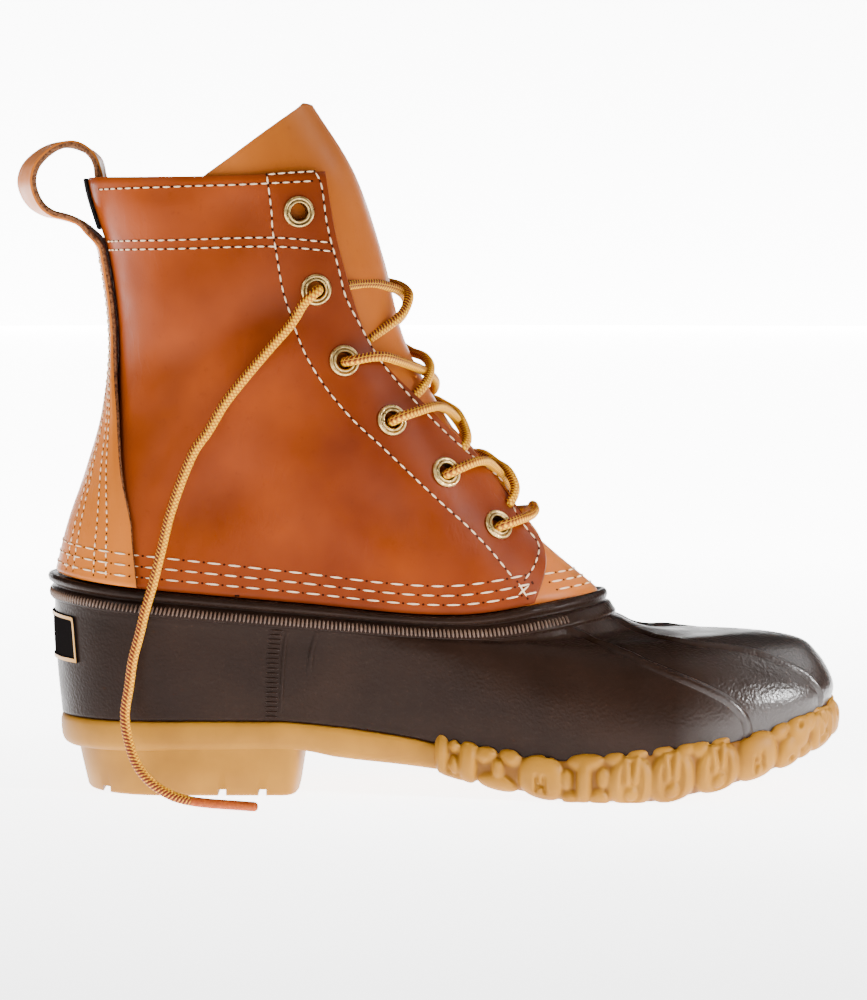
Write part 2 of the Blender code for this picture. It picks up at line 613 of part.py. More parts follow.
def make_outsole(parts, cutters):
    """Gum sole moulded whole: band, arch, chain tread with side lumps, lugs and heel block."""
    half, wave = sole_stations()
    t = np.concatenate([-half[:0:-1], half[:-1]])
    bulge = np.concatenate([wave[:0:-1], wave[:-1]]) ** 0.6
    outline = rubber_at(t, 0)
    along_edge = rubber_at(t + 0.004, 0) - rubber_at(t - 0.004, 0)
    side = np.stack([along_edge[:, 1], -along_edge[:, 0], np.zeros(len(t))], axis=1)
    side /= -np.linalg.norm(side, axis=1, keepdims=True)
    low = line_height(SOLE_BOTTOM, outline[:, 0])
    high = line_height(SOLE_TOP, outline[:, 0])
    start = along(TREAD_START)
    tread = ease(start, start + TREAD_FADE * LENGTH, outline[:, 0])
    rows = []
    for step in SOLE_STEPS:
        out = step.heel_out + tread * (step.tread_out - step.heel_out + LUMP_BULGE * step.lump * bulge)
        row = outline + side * out[:, None]
        rise = step.heel_rise + tread * (step.tread_rise - step.heel_rise)
        row[:, 2] = low + (high - low) * step.share + rise
        rows.append(row)
    mesh = grid_mesh("outsole", np.stack(rows), close_columns=True, caps=True)
    sole = add("outsole", mesh, "gum", parts)
    boolean(sole, heel_block(cutters), "UNION", "Heel block")
    boolean(sole, tread_lugs(cutters), "UNION", "Lugs")
    grooves = joined("heel_grooves", [heel_groove(share) for share in HEEL_GROOVES], cutters)
    boolean(sole, grooves, "DIFFERENCE", "Heel grooves")


def heel_block(cutters):
    """Block under the heel: a rounded back, a square front, a little wider at the top."""
    top = line_height(SOLE_BOTTOM, 0.0) + 0.004
    half_share = HEEL_BLOCK_WIDTH / 2 / BALL_WIDTH
    rings = []
    for z, grow in ((0.0, 0.0), (float(top), 1.0)):
        half_width = half_share * (1 + 0.05 * grow)
        section = Section(
            HEEL_BLOCK_BACK - 0.012 * grow, 0.150, HEEL_BLOCK_FRONT - 0.03,
            HEEL_BLOCK_FRONT + 0.008 * grow, half_width, half_width, half_width, half_width,
            half_width, 5.0, 0, 0, 0, 0,
        )
        row = ring(section, BALL_WIDTH, RIM_HEIGHT, full_turn(16))
        row[:, 2] = z
        rings.append(row)
    mesh = grid_mesh("heel_block", np.stack(rings), close_columns=True, caps=True)
    return add("heel_block", mesh, None, cutters)


def heel_groove(share):
    def cut(bm):
        place = Matrix.Translation((along(share), 0, 0))
        size = Matrix.Diagonal((HEEL_GROOVE_WIDTH, BALL_WIDTH, 2 * HEEL_GROOVE_DEPTH, 1))
        bmesh.ops.create_cube(bm, size=1, matrix=place @ size)

    return cut


def tread_lugs(cutters):
    """Two rows of oval links that stand in the tread's recess."""
    shapes = []
    first, last = along(TREAD_START) + 0.024, along(0.93)
    count = int((last - first) / LUMP_PITCH)
    for number in range(count):
        x = first + number * LUMP_PITCH
        low = float(line_height(SOLE_BOTTOM, x))
        width = float(np.interp(x, (first, along(0.70), last), (0.034, 0.044, 0.026)))
        for sign in (-1, 1):
            side = sign * width / 4 + float(swing(x))
            shapes.append(lug_at(x, side, low, width / 2 * LUG_FILL))
    return joined("tread_lugs", shapes, cutters)


def lug_at(x, y, low, width):
    def make(bm):
        depth = TREAD_RECESS + 0.002
        size = Matrix.Diagonal((LUG_LENGTH, width, depth, 1))
        place = Matrix.Translation((x, y, low + depth / 2))
        bmesh.ops.create_cone(
            bm, cap_ends=True, segments=LUG_SIDES, radius1=0.5, radius2=0.5, depth=1,
            matrix=place @ size,
        )

    return make


def make_insole(parts):
    """Board that lies on the sole inside the rubber wall."""
    t = full_turn(20)
    base = off_rubber(t, 0, -(RUBBER_WALL + GAP + 0.0004))
    upper = off_rubber(t, 0.35, -(RUBBER_WALL + GAP + 0.0004))
    base[:, 2] = line_height(SOLE_TOP, base[:, 0]) + GAP
    upper[:, :2] = base[:, :2]
    upper[:, 2] = base[:, 2] + INSOLE_THICKNESS
    mesh = grid_mesh("insole", np.stack([base, upper]), close_columns=True, caps=True)
    add("insole", mesh, "insole", parts)


def tube(name, points, radius, roundness=2):
    """A round cord along points, with closed ends."""
    curve = bpy.data.curves.new(name, "CURVE")
    curve.dimensions = "3D"
    curve.bevel_depth = radius
    curve.bevel_resolution = roundness
    curve.use_fill_caps = True
    spline = curve.splines.new("POLY")
    spline.points.add(len(points) - 1)
    for knot, place in zip(spline.points, points):
        knot.co = (*place, 1)
    return bpy.data.objects.new(name, curve)


def even(points, spacing):
    """The same route with evenly spaced points on a smooth curve."""
    points = np.asarray(points, float)
    steps = np.linspace(0, len(points) - 1, 40 * len(points))
    fine = between(np.repeat(points[:, None, :], len(steps), axis=1), steps)
    run = np.concatenate([[0], np.cumsum(np.linalg.norm(np.diff(fine, axis=0), axis=1))])
    stops = np.linspace(0, run[-1], max(round(run[-1] / spacing), 2) + 1)
    return np.stack([np.interp(stops, run, fine[:, k]) for k in range(3)], axis=1)


def crossing(first, second, sign):
    """Route of one lace from an eyelet of one side over the tongue to one of the other side."""
    (share_a, height_a), (share_b, height_b) = EYELETS[first], EYELETS[second]
    level_a, level_b = shaft_level(height_a), shaft_level(height_b)
    reach_a = 1 - surface_turn(SHAFT, share_a, level_a)
    reach_b = 1 - surface_turn(SHAFT, share_b, level_b)
    part = np.linspace(0, LACE_STOP if second == LACED_FROM else 1, 15)
    t = 1 + sign * (-reach_a + (reach_a + reach_b) * part)
    v = level_a + (level_b - level_a) * part
    lift = EYELET_CROWN + GAP + LACE_RADIUS + LACE_CLEAR
    return off_shaft(t, v, lift - LACE_DIP * np.sin(np.pi * part) ** 4)


def make_lace_crossings(parts, cutters):
    """Zigzags from the lowest eyelets up to the second ones, joined where they cross."""
    lowest = len(EYELETS) - 1
    strands = [crossing(lowest, lowest, 1)]
    for first in range(lowest, LACED_FROM, -1):
        for sign in (-1, 1):
            strands.append(crossing(first, first - 1, sign))
    tubes = [mesh_of(tube("strand", even(path, STRAND_SPACING), LACE_RADIUS, 1)) for path in strands]
    piece = add("lace_crossings", tubes[0], "lace", parts)
    for number, mesh in enumerate(tubes[1:], start=1):
        other = add(f"strand_{number}", mesh, None, cutters)
        boolean(piece, other, "UNION", f"Strand {number}")


def mesh_of(curve_object):
    """The curve as a closed mesh with welded caps."""
    bpy.context.scene.collection.objects.link(curve_object)
    graph = bpy.context.evaluated_depsgraph_get()
    mesh = bpy.data.meshes.new_from_object(curve_object.evaluated_get(graph))
    bpy.data.objects.remove(curve_object)
    bm = bmesh.new()
    bm.from_mesh(mesh)
    bmesh.ops.remove_doubles(bm, verts=bm.verts, dist=1e-6)
    bmesh.ops.recalc_face_normals(bm, faces=bm.faces)
    bm.to_mesh(mesh)
    bm.free()
    return mesh


def make_lace_end(parts):
    piece = tube("lace_end", even(LACE_ROUTE, LACE_SPACING), LACE_RADIUS)
    piece.data.materials.append(material("lace"))
    parts.objects.link(piece)


def main():
    for thing in list(bpy.data.objects):
        bpy.data.objects.remove(thing)
    parts = bpy.data.collections.new("duck_boot")
    cutters = bpy.data.collections.new("cutters")
    bpy.context.scene.collection.children.link(parts)
    bpy.context.scene.collection.children.link(cutters)
    make_outsole(parts, cutters)
    make_insole(parts)
    make_rubber_shell(parts, cutters)
    make_heel_badge(parts)
    make_leather_shaft(parts, cutters)
    make_tongue(parts)
    make_backstay_loop(parts)
    make_back_binding(parts)
    make_eyelets(parts)
    make_lace_crossings(parts, cutters)
    make_lace_end(parts)


main()
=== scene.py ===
"""Looks of the left duck boot: leather shaft on a moulded rubber bottom with a gum sole.

Metres, +X to the toe, +Z up, the near side at -Y. The sections follow the boot as it is built.
"""

import math
from collections import namedtuple

import bmesh
import bpy
import numpy as np
from mathutils import Matrix, Vector


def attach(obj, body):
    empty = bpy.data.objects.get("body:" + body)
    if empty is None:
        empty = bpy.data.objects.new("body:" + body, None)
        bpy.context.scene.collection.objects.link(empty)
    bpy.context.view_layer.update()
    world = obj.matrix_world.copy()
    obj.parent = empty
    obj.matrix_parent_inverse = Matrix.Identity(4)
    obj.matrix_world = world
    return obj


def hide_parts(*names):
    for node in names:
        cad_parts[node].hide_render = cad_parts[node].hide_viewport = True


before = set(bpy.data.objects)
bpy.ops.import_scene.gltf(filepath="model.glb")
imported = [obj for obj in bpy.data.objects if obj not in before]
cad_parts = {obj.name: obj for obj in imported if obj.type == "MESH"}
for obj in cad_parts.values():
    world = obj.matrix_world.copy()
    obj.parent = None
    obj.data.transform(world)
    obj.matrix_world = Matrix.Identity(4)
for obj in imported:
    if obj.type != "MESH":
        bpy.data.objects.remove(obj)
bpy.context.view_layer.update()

# Camera
# A long lens 1.5 m from the boot's middle plane, at the height of the collar and tipped down a
# little, as the photograph was taken.
CAMERA_PLACE = (0.0879, -1.5, 0.215)
CAMERA_PITCH = math.radians(4.125)
CAMERA_LENS = 145.15  # mm on the 36 mm long side

camera_data = bpy.data.cameras.new("camera")
camera_data.lens = CAMERA_LENS
camera_data.sensor_width = 36
camera_data.clip_end = 20


def put_in_scene(name, data):
    """A new object of this mesh, camera or lamp, linked to the scene."""
    made = bpy.data.objects.new(name, data)
    bpy.context.scene.collection.objects.link(made)
    return made


camera = put_in_scene("camera", camera_data)
camera.location = CAMERA_PLACE
camera.rotation_euler = (math.pi / 2 - CAMERA_PITCH, 0, 0)
bpy.context.scene.camera = camera

# Free end of the lace
# Round waxed cotton lace, braided of golden and brown yarns, that leaves the second eyelet and
# hangs down over the quarter to the floor, where it ends in a short tip hardened with brown wax.
LACE_RADIUS = 0.00185
LACE_STRANDS = 8  # yarns of each hand in the braid
LACE_LAY = 0.0056  # length in which a yarn goes once round
LACE_BROWN_TURN = 0.10  # turns from the first side to the brown yarns
LACE_DRIFT = 0.004  # turns that the brown yarns move round in one lay
LACE_END_ROUTE = (
    (0.0454, -0.0370, 0.1858), (0.0463, -0.0402, 0.1858), (0.0442, -0.0422, 0.1840),
    (0.0409, -0.0424, 0.1808), (0.0366, -0.0426, 0.1738), (0.0285, -0.0431, 0.1645),
    (0.0206, -0.0436, 0.1552), (0.0125, -0.0440, 0.1450), (0.0065, -0.0444, 0.1350),
    (0.0014, -0.0447, 0.1277), (-0.0034, -0.0449, 0.1166), (-0.0076, -0.0451, 0.1042),
    (-0.0105, -0.0453, 0.0924), (-0.0139, -0.0457, 0.0791), (-0.0167, -0.0461, 0.0694),
    (-0.0185, -0.0464, 0.0618), (-0.0211, -0.0468, 0.0519), (-0.0225, -0.0474, 0.0421),
    (-0.0239, -0.0484, 0.0324), (-0.0226, -0.0502, 0.0232), (-0.0193, -0.0528, 0.0145),
    (-0.0140, -0.0556, 0.0085), (-0.0070, -0.0580, 0.0044), (0.0000, -0.0600, 0.0026),
    (0.0074, -0.0632, 0.0021), (0.0165, -0.0676, 0.0021), (0.0250, -0.0720, 0.0021),
)
LACE_TIP = 0.027  # length of the waxed tip
LACE_SIDES = 28
LACE_STEP = 0.00042  # length of each ring of faces


def colour(red, green, blue):
    """A colour read off in 0 to 255 as the shader's linear one."""
    shares = np.array((red, green, blue)) / 255
    linear = np.where(shares <= 0.04045, shares / 12.92, ((shares + 0.055) / 1.055) ** 2.4)
    return (*(float(c) for c in linear), 1)


def node(tree, kind, sockets=None, **settings):
    """Adds a node to a tree. Each socket takes a value or another node's output."""
    made = tree.nodes.new(kind)
    for name, value in settings.items():
        setattr(made, name, value)
    for key, value in (sockets or {}).items():
        if isinstance(value, bpy.types.NodeSocket):
            tree.links.new(value, made.inputs[key])
        else:
            made.inputs[key].default_value = value
    return made


def new_finish(name, **shader_values):
    """A new material, its tree and its shader, with the shader's even values set."""
    made = bpy.data.materials.new(name)
    made.use_nodes = True
    tree = made.node_tree
    shader = tree.nodes["Principled BSDF"]
    for key, value in shader_values.items():
        shader.inputs[key.replace("_", " ")].default_value = value
    return made, tree, shader


def math_node(tree, operation, first, second=0.5, third=0.0):
    """One sum, product or other operation on two or three values."""
    return node(tree, "ShaderNodeMath", {0: first, 1: second, 2: third}, operation=operation).outputs[0]


def spread(tree, value, low, high, to_low=0.0, to_high=1.0):
    """Maps a value from low..high to to_low..to_high, held at both ends."""
    sockets = {"Value": value, "From Min": low, "From Max": high, "To Min": to_low, "To Max": to_high}
    return node(tree, "ShaderNodeMapRange", sockets).outputs[0]


def mixed(tree, share, first, second):
    """Colour mixed from first to second by a share."""
    sockets = {"Factor": share, 6: first, 7: second}
    return node(tree, "ShaderNodeMix", sockets, data_type="RGBA").outputs[2]


def bumped(tree, height, depth, strength=1.0, under=None):
    """A bump of this depth in metres, on top of another one if given."""
    sockets = {"Height": height, "Distance": depth, "Strength": strength}
    if under:
        sockets["Normal"] = under
    return node(tree, "ShaderNodeBump", sockets).outputs[0]


def noise(tree, place, size, detail=2.0, roughness=0.5):
    """Noise whose blots are about this size in metres."""
    sockets = {"Vector": place, "Scale": 1 / size, "Detail": detail, "Roughness": roughness}
    return node(tree, "ShaderNodeTexNoise", sockets).outputs[0]


def object_place(tree):
    return node(tree, "ShaderNodeTexCoord").outputs["Object"]


def attribute(tree, name):
    return node(tree, "ShaderNodeAttribute", attribute_name=name).outputs["Fac"]


def run_along(line):
    """Distance run at each point of a line."""
    return np.concatenate([[0], np.cumsum(np.linalg.norm(np.diff(line, axis=0), axis=1))])


def evened(points, spacing):
    """The same route with evenly spaced points on a smooth curve."""
    points = np.asarray(points, float)
    slopes = np.gradient(points, axis=0)
    steps = np.linspace(0, len(points) - 1, 60 * len(points))
    i = np.minimum(steps.astype(int), len(points) - 2)
    u = (steps - i)[:, None]
    fine = points[i] * (1 + 2 * u) * (1 - u) ** 2 + points[i + 1] * u**2 * (3 - 2 * u)
    fine += slopes[i] * u * (1 - u) ** 2 + slopes[i + 1] * u**2 * (u - 1)
    run = run_along(fine)
    stops = np.linspace(0, run[-1], max(round(run[-1] / spacing), 2) + 1)
    return np.stack([np.interp(stops, run, fine[:, k]) for k in range(3)], axis=1)


def grid_faces(rows, columns, close_rows=False, close_columns=False):
    """Four-cornered faces over a grid of vertices numbered row by row."""
    i, j = np.meshgrid(
        np.arange(rows if close_rows else rows - 1),
        np.arange(columns if close_columns else columns - 1), indexing="ij",
    )
    low, high = i * columns, (i + 1) % rows * columns
    left, right = j, (j + 1) % columns
    return np.stack([low + left, high + left, high + right, low + right], axis=-1).reshape(-1, 4)


def mesh_piece(name, points, faces, finish, attributes=None):
    """A smooth-shaded piece from points and faces, with values for its material."""
    mesh = bpy.data.meshes.new(name)
    mesh.from_pydata(np.reshape(points, (-1, 3)).tolist(), [], [list(map(int, f)) for f in faces])
    for key, values in (attributes or {}).items():
        layer = mesh.attributes.new(key, "FLOAT", "POINT")
        layer.data.foreach_set("value", np.ravel(values).astype(np.float32))
    mesh.materials.append(finish)
    mesh.shade_smooth()
    return put_in_scene(name, mesh)


def braided(name, route, finish, tip=0.0):
    """A round braid along a route, with turns round it and lays along it for its finish."""
    around = LACE_SIDES
    path = evened(route, LACE_STEP)
    heading = np.gradient(path, axis=0)
    heading /= np.linalg.norm(heading, axis=1, keepdims=True)
    side = np.cross(heading[0], (0, 0, 1))
    side /= np.linalg.norm(side)
    sides = [side]
    for ahead in heading[1:]:
        side = side - ahead * (side @ ahead)
        side = side / np.linalg.norm(side)
        sides.append(side)
    sides = np.array(sides)
    ups = np.cross(heading, sides)
    run = run_along(path)
    turn = np.linspace(0, 2 * np.pi, around, endpoint=False)[None, :]
    lays = run[:, None] / LACE_LAY
    over = LACE_STRANDS * turn / 2
    climb = 2 * np.pi * lays * LACE_STRANDS / 2
    weave = np.abs(np.cos(over + climb) * np.cos(over - climb))
    left_to_run = run[-1] - run
    soft = np.clip(left_to_run / 0.002 - tip / 0.002, 0, 1)[:, None] if tip else 1.0
    rounded = np.sqrt(np.clip(1 - (1 - np.clip(left_to_run / 0.0012, 0, 1)) ** 2, 0.02, 1))
    radius = LACE_RADIUS * (0.93 + 0.07 * weave * soft) * rounded[:, None]
    ring = np.cos(turn)[..., None] * sides[:, None, :] + np.sin(turn)[..., None] * ups[:, None, :]
    points = path[:, None, :] + ring * radius[..., None]
    faces = [tuple(f) for f in grid_faces(len(path), around, close_columns=True)[:, ::-1]]
    faces.append(tuple(range(around)))
    faces.append(tuple(range(len(path) * around - 1, (len(path) - 1) * around - 1, -1)))
    in_tip = np.clip((tip - left_to_run) / 0.001, 0, 1)[:, None] if tip else 0.0
    waxed, turns, lays = np.broadcast_arrays(in_tip, turn / (2 * np.pi), lays)
    return mesh_piece(name, points, faces, finish, {"waxed": waxed, "turn": turns, "lays": lays}), path


def lace_finish():
    """Golden yarns crossed by brown ones, with fine threads along each yarn and painted shade, a darker
    golden tone, where the yarns part.
    """
    made, tree, shader = new_finish("braided_lace", Roughness=0.6, Specular_IOR_Level=0.2)
    turn, lays = attribute(tree, "turn"), attribute(tree, "lays")
    half = LACE_STRANDS / 2
    lean_left = math_node(tree, "MULTIPLY_ADD", lays, half, math_node(tree, "MULTIPLY", turn, half))
    back = math_node(tree, "MULTIPLY", turn, -half)
    lean_right = math_node(tree, "MULTIPLY_ADD", lays, half, back)
    left = math_node(tree, "FRACT", lean_left)
    right = math_node(tree, "FRACT", lean_right)
    over_left = math_node(tree, "PINGPONG", left, 0.5)
    crossing = math_node(tree, "MULTIPLY", over_left, math_node(tree, "PINGPONG", right, 0.5))
    drift = math_node(tree, "MULTIPLY_ADD", lays, LACE_DRIFT, math_node(tree, "ADD", turn, LACE_BROWN_TURN))
    side = math_node(tree, "PINGPONG", math_node(tree, "FRACT", drift), 0.5)
    brown_side = spread(tree, side, 0.15, 0.22, 1.0, 0.0)
    brown_yarn = math_node(tree, "MULTIPLY", brown_side, spread(tree, left, 0.30, 0.45))
    # Painted shade: the yarns turn a darker golden where they part, between the crossings.
    on_top = spread(tree, crossing, 0.02, 0.10)
    shaded_gold = mixed(tree, on_top, colour(170, 92, 0), colour(240, 182, 0))
    dyed_and_shaded = mixed(tree, brown_yarn, shaded_gold, colour(84, 20, 3))
    tip = mixed(tree, noise(tree, object_place(tree), 0.0012), colour(104, 30, 4), colour(176, 84, 12))
    tree.links.new(mixed(tree, attribute(tree, "waxed"), dyed_and_shaded, tip), shader.inputs["Base Color"])
    threads = math_node(tree, "SINE", math_node(tree, "MULTIPLY", lean_left, 2 * math.pi * 4))
    relief = bumped(tree, crossing, 0.0006, 0.6)
    tree.links.new(bumped(tree, threads, 0.00006, 0.5, relief), shader.inputs["Normal"])
    return made


braid = lace_finish()
lace_end, lace_end_path = braided("lace_hanging_end", LACE_END_ROUTE, braid, tip=LACE_TIP)
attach(lace_end, "root")
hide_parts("lace_end")

# Rubber bottom
# One moulding of dark brown natural rubber round the whole foot: a dome over the toes with two
# thin ridges, a ladder of short bars at the waist, and a bead and a knurled ring at its top edge.
LENGTH = 0.295  # back of the rubber rim to the tip of the tread
HEEL_CENTRE = 0.055  # back of the rim to the middle of the heel block
BALL_WIDTH = 0.097
SOLE_HEIGHT = 0.028
RIM_HEIGHT = 0.072
COLLAR_HEIGHT = 0.227
SHAFT_WIDTH = 0.080
TOE_SWING = -0.006
SWING_START = 0.39
MID_X = 0.322
GAP = 0.00035
FACET = 0.00025
RUBBER_WALL = 0.003
FLANGE_WALL = 0.0016
FLANGE_TOP = 0.6
LEATHER_WALL = 0.0022
TONGUE_WALL = 0.0020
STRAP_WALL = 0.0026
TONGUE_ROOM = 0.0013
STRIP_ROOM = 0.0012
THROAT_FOOT = (0.60, 0.64)
APRON_SIDE = (0.475, 0.500)
STRIP_SIDE = (0.02, 0.12)
SHELL_STATIONS = 640

# One row for each section. The x columns are shares of LENGTH from the back of the rim.
Section = namedtuple(
    "Section",
    "back heel_x ball_x front heel waist_near waist_far ball_near ball_far nose "
    "z_back z_mid z_ball z_front",
)
# Half widths are shares of BALL_WIDTH and heights of RIM_HEIGHT
RUBBER_TABLE = (
    (0.0140, 0.132, 0.695, 0.9850, 0.356, 0.345, 0.381, 0.479, 0.510, 2.30, 0.389, 0.382, 0.19, 0.46),
    (0.0100, 0.132, 0.695, 0.9890, 0.376, 0.366, 0.397, 0.495, 0.526, 2.30, 0.556, 0.528, 0.361, 0.535),
    (0.0075, 0.132, 0.688, 0.9830, 0.392, 0.381, 0.402, 0.490, 0.521, 2.20, 0.694, 0.653, 0.500, 0.611),
    (0.0060, 0.132, 0.678, 0.9690, 0.402, 0.392, 0.407, 0.464, 0.495, 2.00, 0.806, 0.743, 0.622, 0.699),
    (0.0055, 0.132, 0.661, 0.9460, 0.409, 0.399, 0.412, 0.428, 0.459, 1.80, 0.882, 0.792, 0.708, 0.775),
    (0.0055, 0.132, 0.634, 0.8915, 0.414, 0.404, 0.415, 0.392, 0.418, 1.60, 0.931, 0.826, 0.765, 0.812),
    (0.0055, 0.132, 0.600, 0.8170, 0.419, 0.408, 0.419, 0.376, 0.392, 1.55, 0.958, 0.847, 0.790, 0.807),
    (0.0055, 0.132, 0.566, 0.7525, 0.421, 0.412, 0.423, 0.371, 0.381, 1.70, 0.972, 0.861, 0.802, 0.831),
    (0.0055, 0.132, 0.539, 0.7135, 0.423, 0.415, 0.425, 0.376, 0.387, 2.00, 0.981, 0.872, 0.812, 0.900),
)
# Half widths are shares of SHAFT_WIDTH and heights of COLLAR_HEIGHT
SHAFT_TABLE = (
    (0.0187, 0.132, 0.508, 0.702, 0.494, 0.488, 0.494, 0.438, 0.450, 1.9, 0.351, 0.316, 0.295, 0.336),
    (0.0349, 0.146, 0.441, 0.616, 0.481, 0.488, 0.488, 0.438, 0.438, 1.9, 0.432, 0.432, 0.432, 0.432),
    (0.0583, 0.159, 0.390, 0.562, 0.469, 0.481, 0.481, 0.450, 0.450, 2.0, 0.520, 0.520, 0.520, 0.520),
    (0.0790, 0.180, 0.339, 0.510, 0.463, 0.475, 0.475, 0.463, 0.463, 2.0, 0.617, 0.617, 0.617, 0.617),
    (0.0882, 0.200, 0.288, 0.460, 0.475, 0.481, 0.481, 0.475, 0.475, 2.1, 0.736, 0.736, 0.736, 0.736),
    (0.0760, 0.193, 0.268, 0.433, 0.488, 0.494, 0.494, 0.494, 0.494, 2.2, 0.872, 0.872, 0.872, 0.872),
    (0.0495, 0.183, 0.241, 0.396, 0.500, 0.506, 0.506, 0.506, 0.506, 2.3, 0.998, 1.000, 1.001, 1.012),
    (0.0495, 0.186, 0.203, 0.341, 0.450, 0.450, 0.450, 0.450, 0.450, 2.2, 1.128, 1.128, 1.128, 1.128),
)
COLLAR = 6
TONGUE_TIP = 7
SOLE_TOP = (
    (0.0136, 1.000), (0.285, 0.993), (0.366, 0.918), (0.414, 0.850), (0.461, 0.768),
    (0.492, 0.696), (0.542, 0.589), (0.593, 0.521), (0.641, 0.493), (0.695, 0.521),
    (0.759, 0.600), (0.848, 0.732), (0.912, 0.893), (0.949, 1.011), (0.986, 1.179),
)
# Rim above the last section: share of the way to the leather's edge, and step outwards
RIM_PROFILE = (
    (0.00, 0.0002), (0.03, 0.0010), (0.08, 0.0014), (0.25, 0.0013), (0.42, 0.0014), (0.48, 0.0010),
    (0.51, 0.0002), (0.60, 0.0001), (0.64, 0.0014), (0.69, 0.0023), (0.80, 0.0027), (0.90, 0.0023),
    (0.96, 0.0012), (0.985, -0.0008),
)


def along(share):
    """World x of a share of the length."""
    return share * LENGTH - HEEL_CENTRE


def through(xs, ys, x):
    """A smooth curve through the points (xs, ys) that doesn't overshoot them, read at x."""
    xs = np.asarray(xs, float)
    ys = np.asarray(ys, float)
    step = np.diff(xs)
    rise = np.diff(ys) / step
    slope = np.concatenate([rise[:1], np.zeros(len(xs) - 2), rise[-1:]])
    same_way = rise[:-1] * rise[1:] > 0
    slope[1:-1][same_way] = (2 * rise[:-1] * rise[1:])[same_way] / (rise[:-1] + rise[1:])[same_way]
    x = np.clip(x, xs[0], xs[-1])
    i = np.clip(np.searchsorted(xs, x, side="right") - 1, 0, len(step) - 1)
    u = (x - xs[i]) / step[i]
    ends = ys[i] * (1 + 2 * u) * (1 - u) ** 2 + ys[i + 1] * u**2 * (3 - 2 * u)
    return ends + step[i] * (slope[i] * u * (1 - u) ** 2 + slope[i + 1] * u**2 * (u - 1))


def ease(low, high, x):
    """0 below low, 1 above high, smooth between."""
    u = np.clip((x - low) / (high - low), 0, 1)
    return u * u * (3 - 2 * u)


def line_height(line, x):
    """World z of one of the sole's side lines at world x."""
    return SOLE_HEIGHT * through(*zip(*line), (x + HEEL_CENTRE) / LENGTH)


def swing(x):
    """Sideways shift of the foot's middle line at world x."""
    start = along(SWING_START)
    return TOE_SWING * (np.clip(x - start, 0, None) / (along(1) - start)) ** 2


def section_ring(section, width, height, t):
    """Points of one section. t runs from -1 at the toe along the near side, 0 at the back, to 1."""
    t = (np.asarray(t, float) + 1) % 2 - 1
    back, heel_x, ball_x, front = (along(share) for share in section[:4])
    waist_x = (heel_x + ball_x) / 2
    x = back + (front - back) * (1 - np.cos(np.pi * np.abs(t))) / 2
    stations = (heel_x, waist_x, ball_x)
    near = through(stations, (section.heel, section.waist_near, section.ball_near), x)
    far = through(stations, (section.heel, section.waist_far, section.ball_far), x)
    half = width * np.where(t < 0, near, far)
    heel_end = np.sqrt(np.clip(1 - (np.clip(heel_x - x, 0, None) / (heel_x - back)) ** 2, 0, 1))
    toe_share = np.clip(x - ball_x, 0, None) / (front - ball_x)
    toe_end = np.clip(1 - toe_share**section.nose, 0, 1) ** (1 / section.nose)
    y = np.sign(t) * half * heel_end * toe_end + swing(x)
    heights = (section.z_back, section.z_mid, section.z_ball, section.z_front)
    mid_x = min(along(MID_X), (heel_x + ball_x) / 2)
    z = height * through((back, mid_x, ball_x, front), heights, x)
    return np.stack([x, y, z], axis=-1)


def between(rings, v):
    """Reads a stack of rings at fractional places v, on smooth curves from ring to ring."""
    last = len(rings) - 1
    v = np.clip(v, 0, last)
    i = np.minimum(v.astype(int), last - 1)
    u = (v - i)[..., None]
    slopes = np.gradient(rings, axis=0)

    def pick(stack, index):
        return np.take_along_axis(stack, index[None, ..., None], axis=0)[0]

    low, high = pick(rings, i), pick(rings, i + 1)
    low_slope, high_slope = pick(slopes, i), pick(slopes, i + 1)
    blend = low * (1 + 2 * u) * (1 - u) ** 2 + high * u**2 * (3 - 2 * u)
    return blend + low_slope * u * (1 - u) ** 2 + high_slope * u**2 * (u - 1)


RUBBER = [Section(*row) for row in RUBBER_TABLE]
SHAFT = [Section(*row) for row in SHAFT_TABLE]


def rubber_at(t, v):
    """Outside of the rubber bottom: v counts its sections from the feather line."""
    t, v = np.broadcast_arrays(np.asarray(t, float), np.asarray(v, float))
    rings = np.stack([section_ring(row, BALL_WIDTH, RIM_HEIGHT, t) for row in RUBBER])
    rings[0, ..., 2] = line_height(SOLE_TOP, rings[0, ..., 0]) + GAP + FACET / 2
    return between(rings, v)


def shaft_at(t, v):
    """Outside of the leather quarters: v counts the shaft's sections from the bottom edge."""
    t, v = np.broadcast_arrays(np.asarray(t, float), np.asarray(v, float))
    rings = np.stack([section_ring(row, SHAFT_WIDTH, COLLAR_HEIGHT, t) for row in SHAFT])
    return between(rings, v)


def outward(surface, t, v, last):
    """Unit normals of a surface function, away from the foot."""
    turn, climb = 0.006, 0.03
    t, v = np.broadcast_arrays(np.asarray(t, float), np.asarray(v, float))
    across = surface(t + turn, v) - surface(t - turn, v)
    up = surface(t, np.minimum(v + climb, last)) - surface(t, np.maximum(v - climb, 0))
    normal = np.cross(up, across)
    return normal / np.linalg.norm(normal, axis=-1, keepdims=True)


def rubber_out(t, v):
    return outward(rubber_at, t, v, len(RUBBER) - 1)


def shaft_out(t, v):
    return outward(shaft_at, t, v, len(SHAFT) - 1)


def off_rubber(t, v, distance):
    return rubber_at(t, v) + np.asarray(distance, float)[..., None] * rubber_out(t, v)


def off_shaft(t, v, distance):
    return shaft_at(t, v) + np.asarray(distance, float)[..., None] * shaft_out(t, v)


def even_turns(surface, v, count):
    """t of stations evenly spaced along one closed ring of a surface, from toe round to toe."""
    t = np.linspace(-1, 1, 4001)
    ring = surface(t, v)
    run = run_along(ring)
    return np.interp(np.linspace(0, run[-1], count + 1)[:-1], run, t)


TOE_SHINE = (0.78, 0.88)  # shares of the length between which the polish sets in


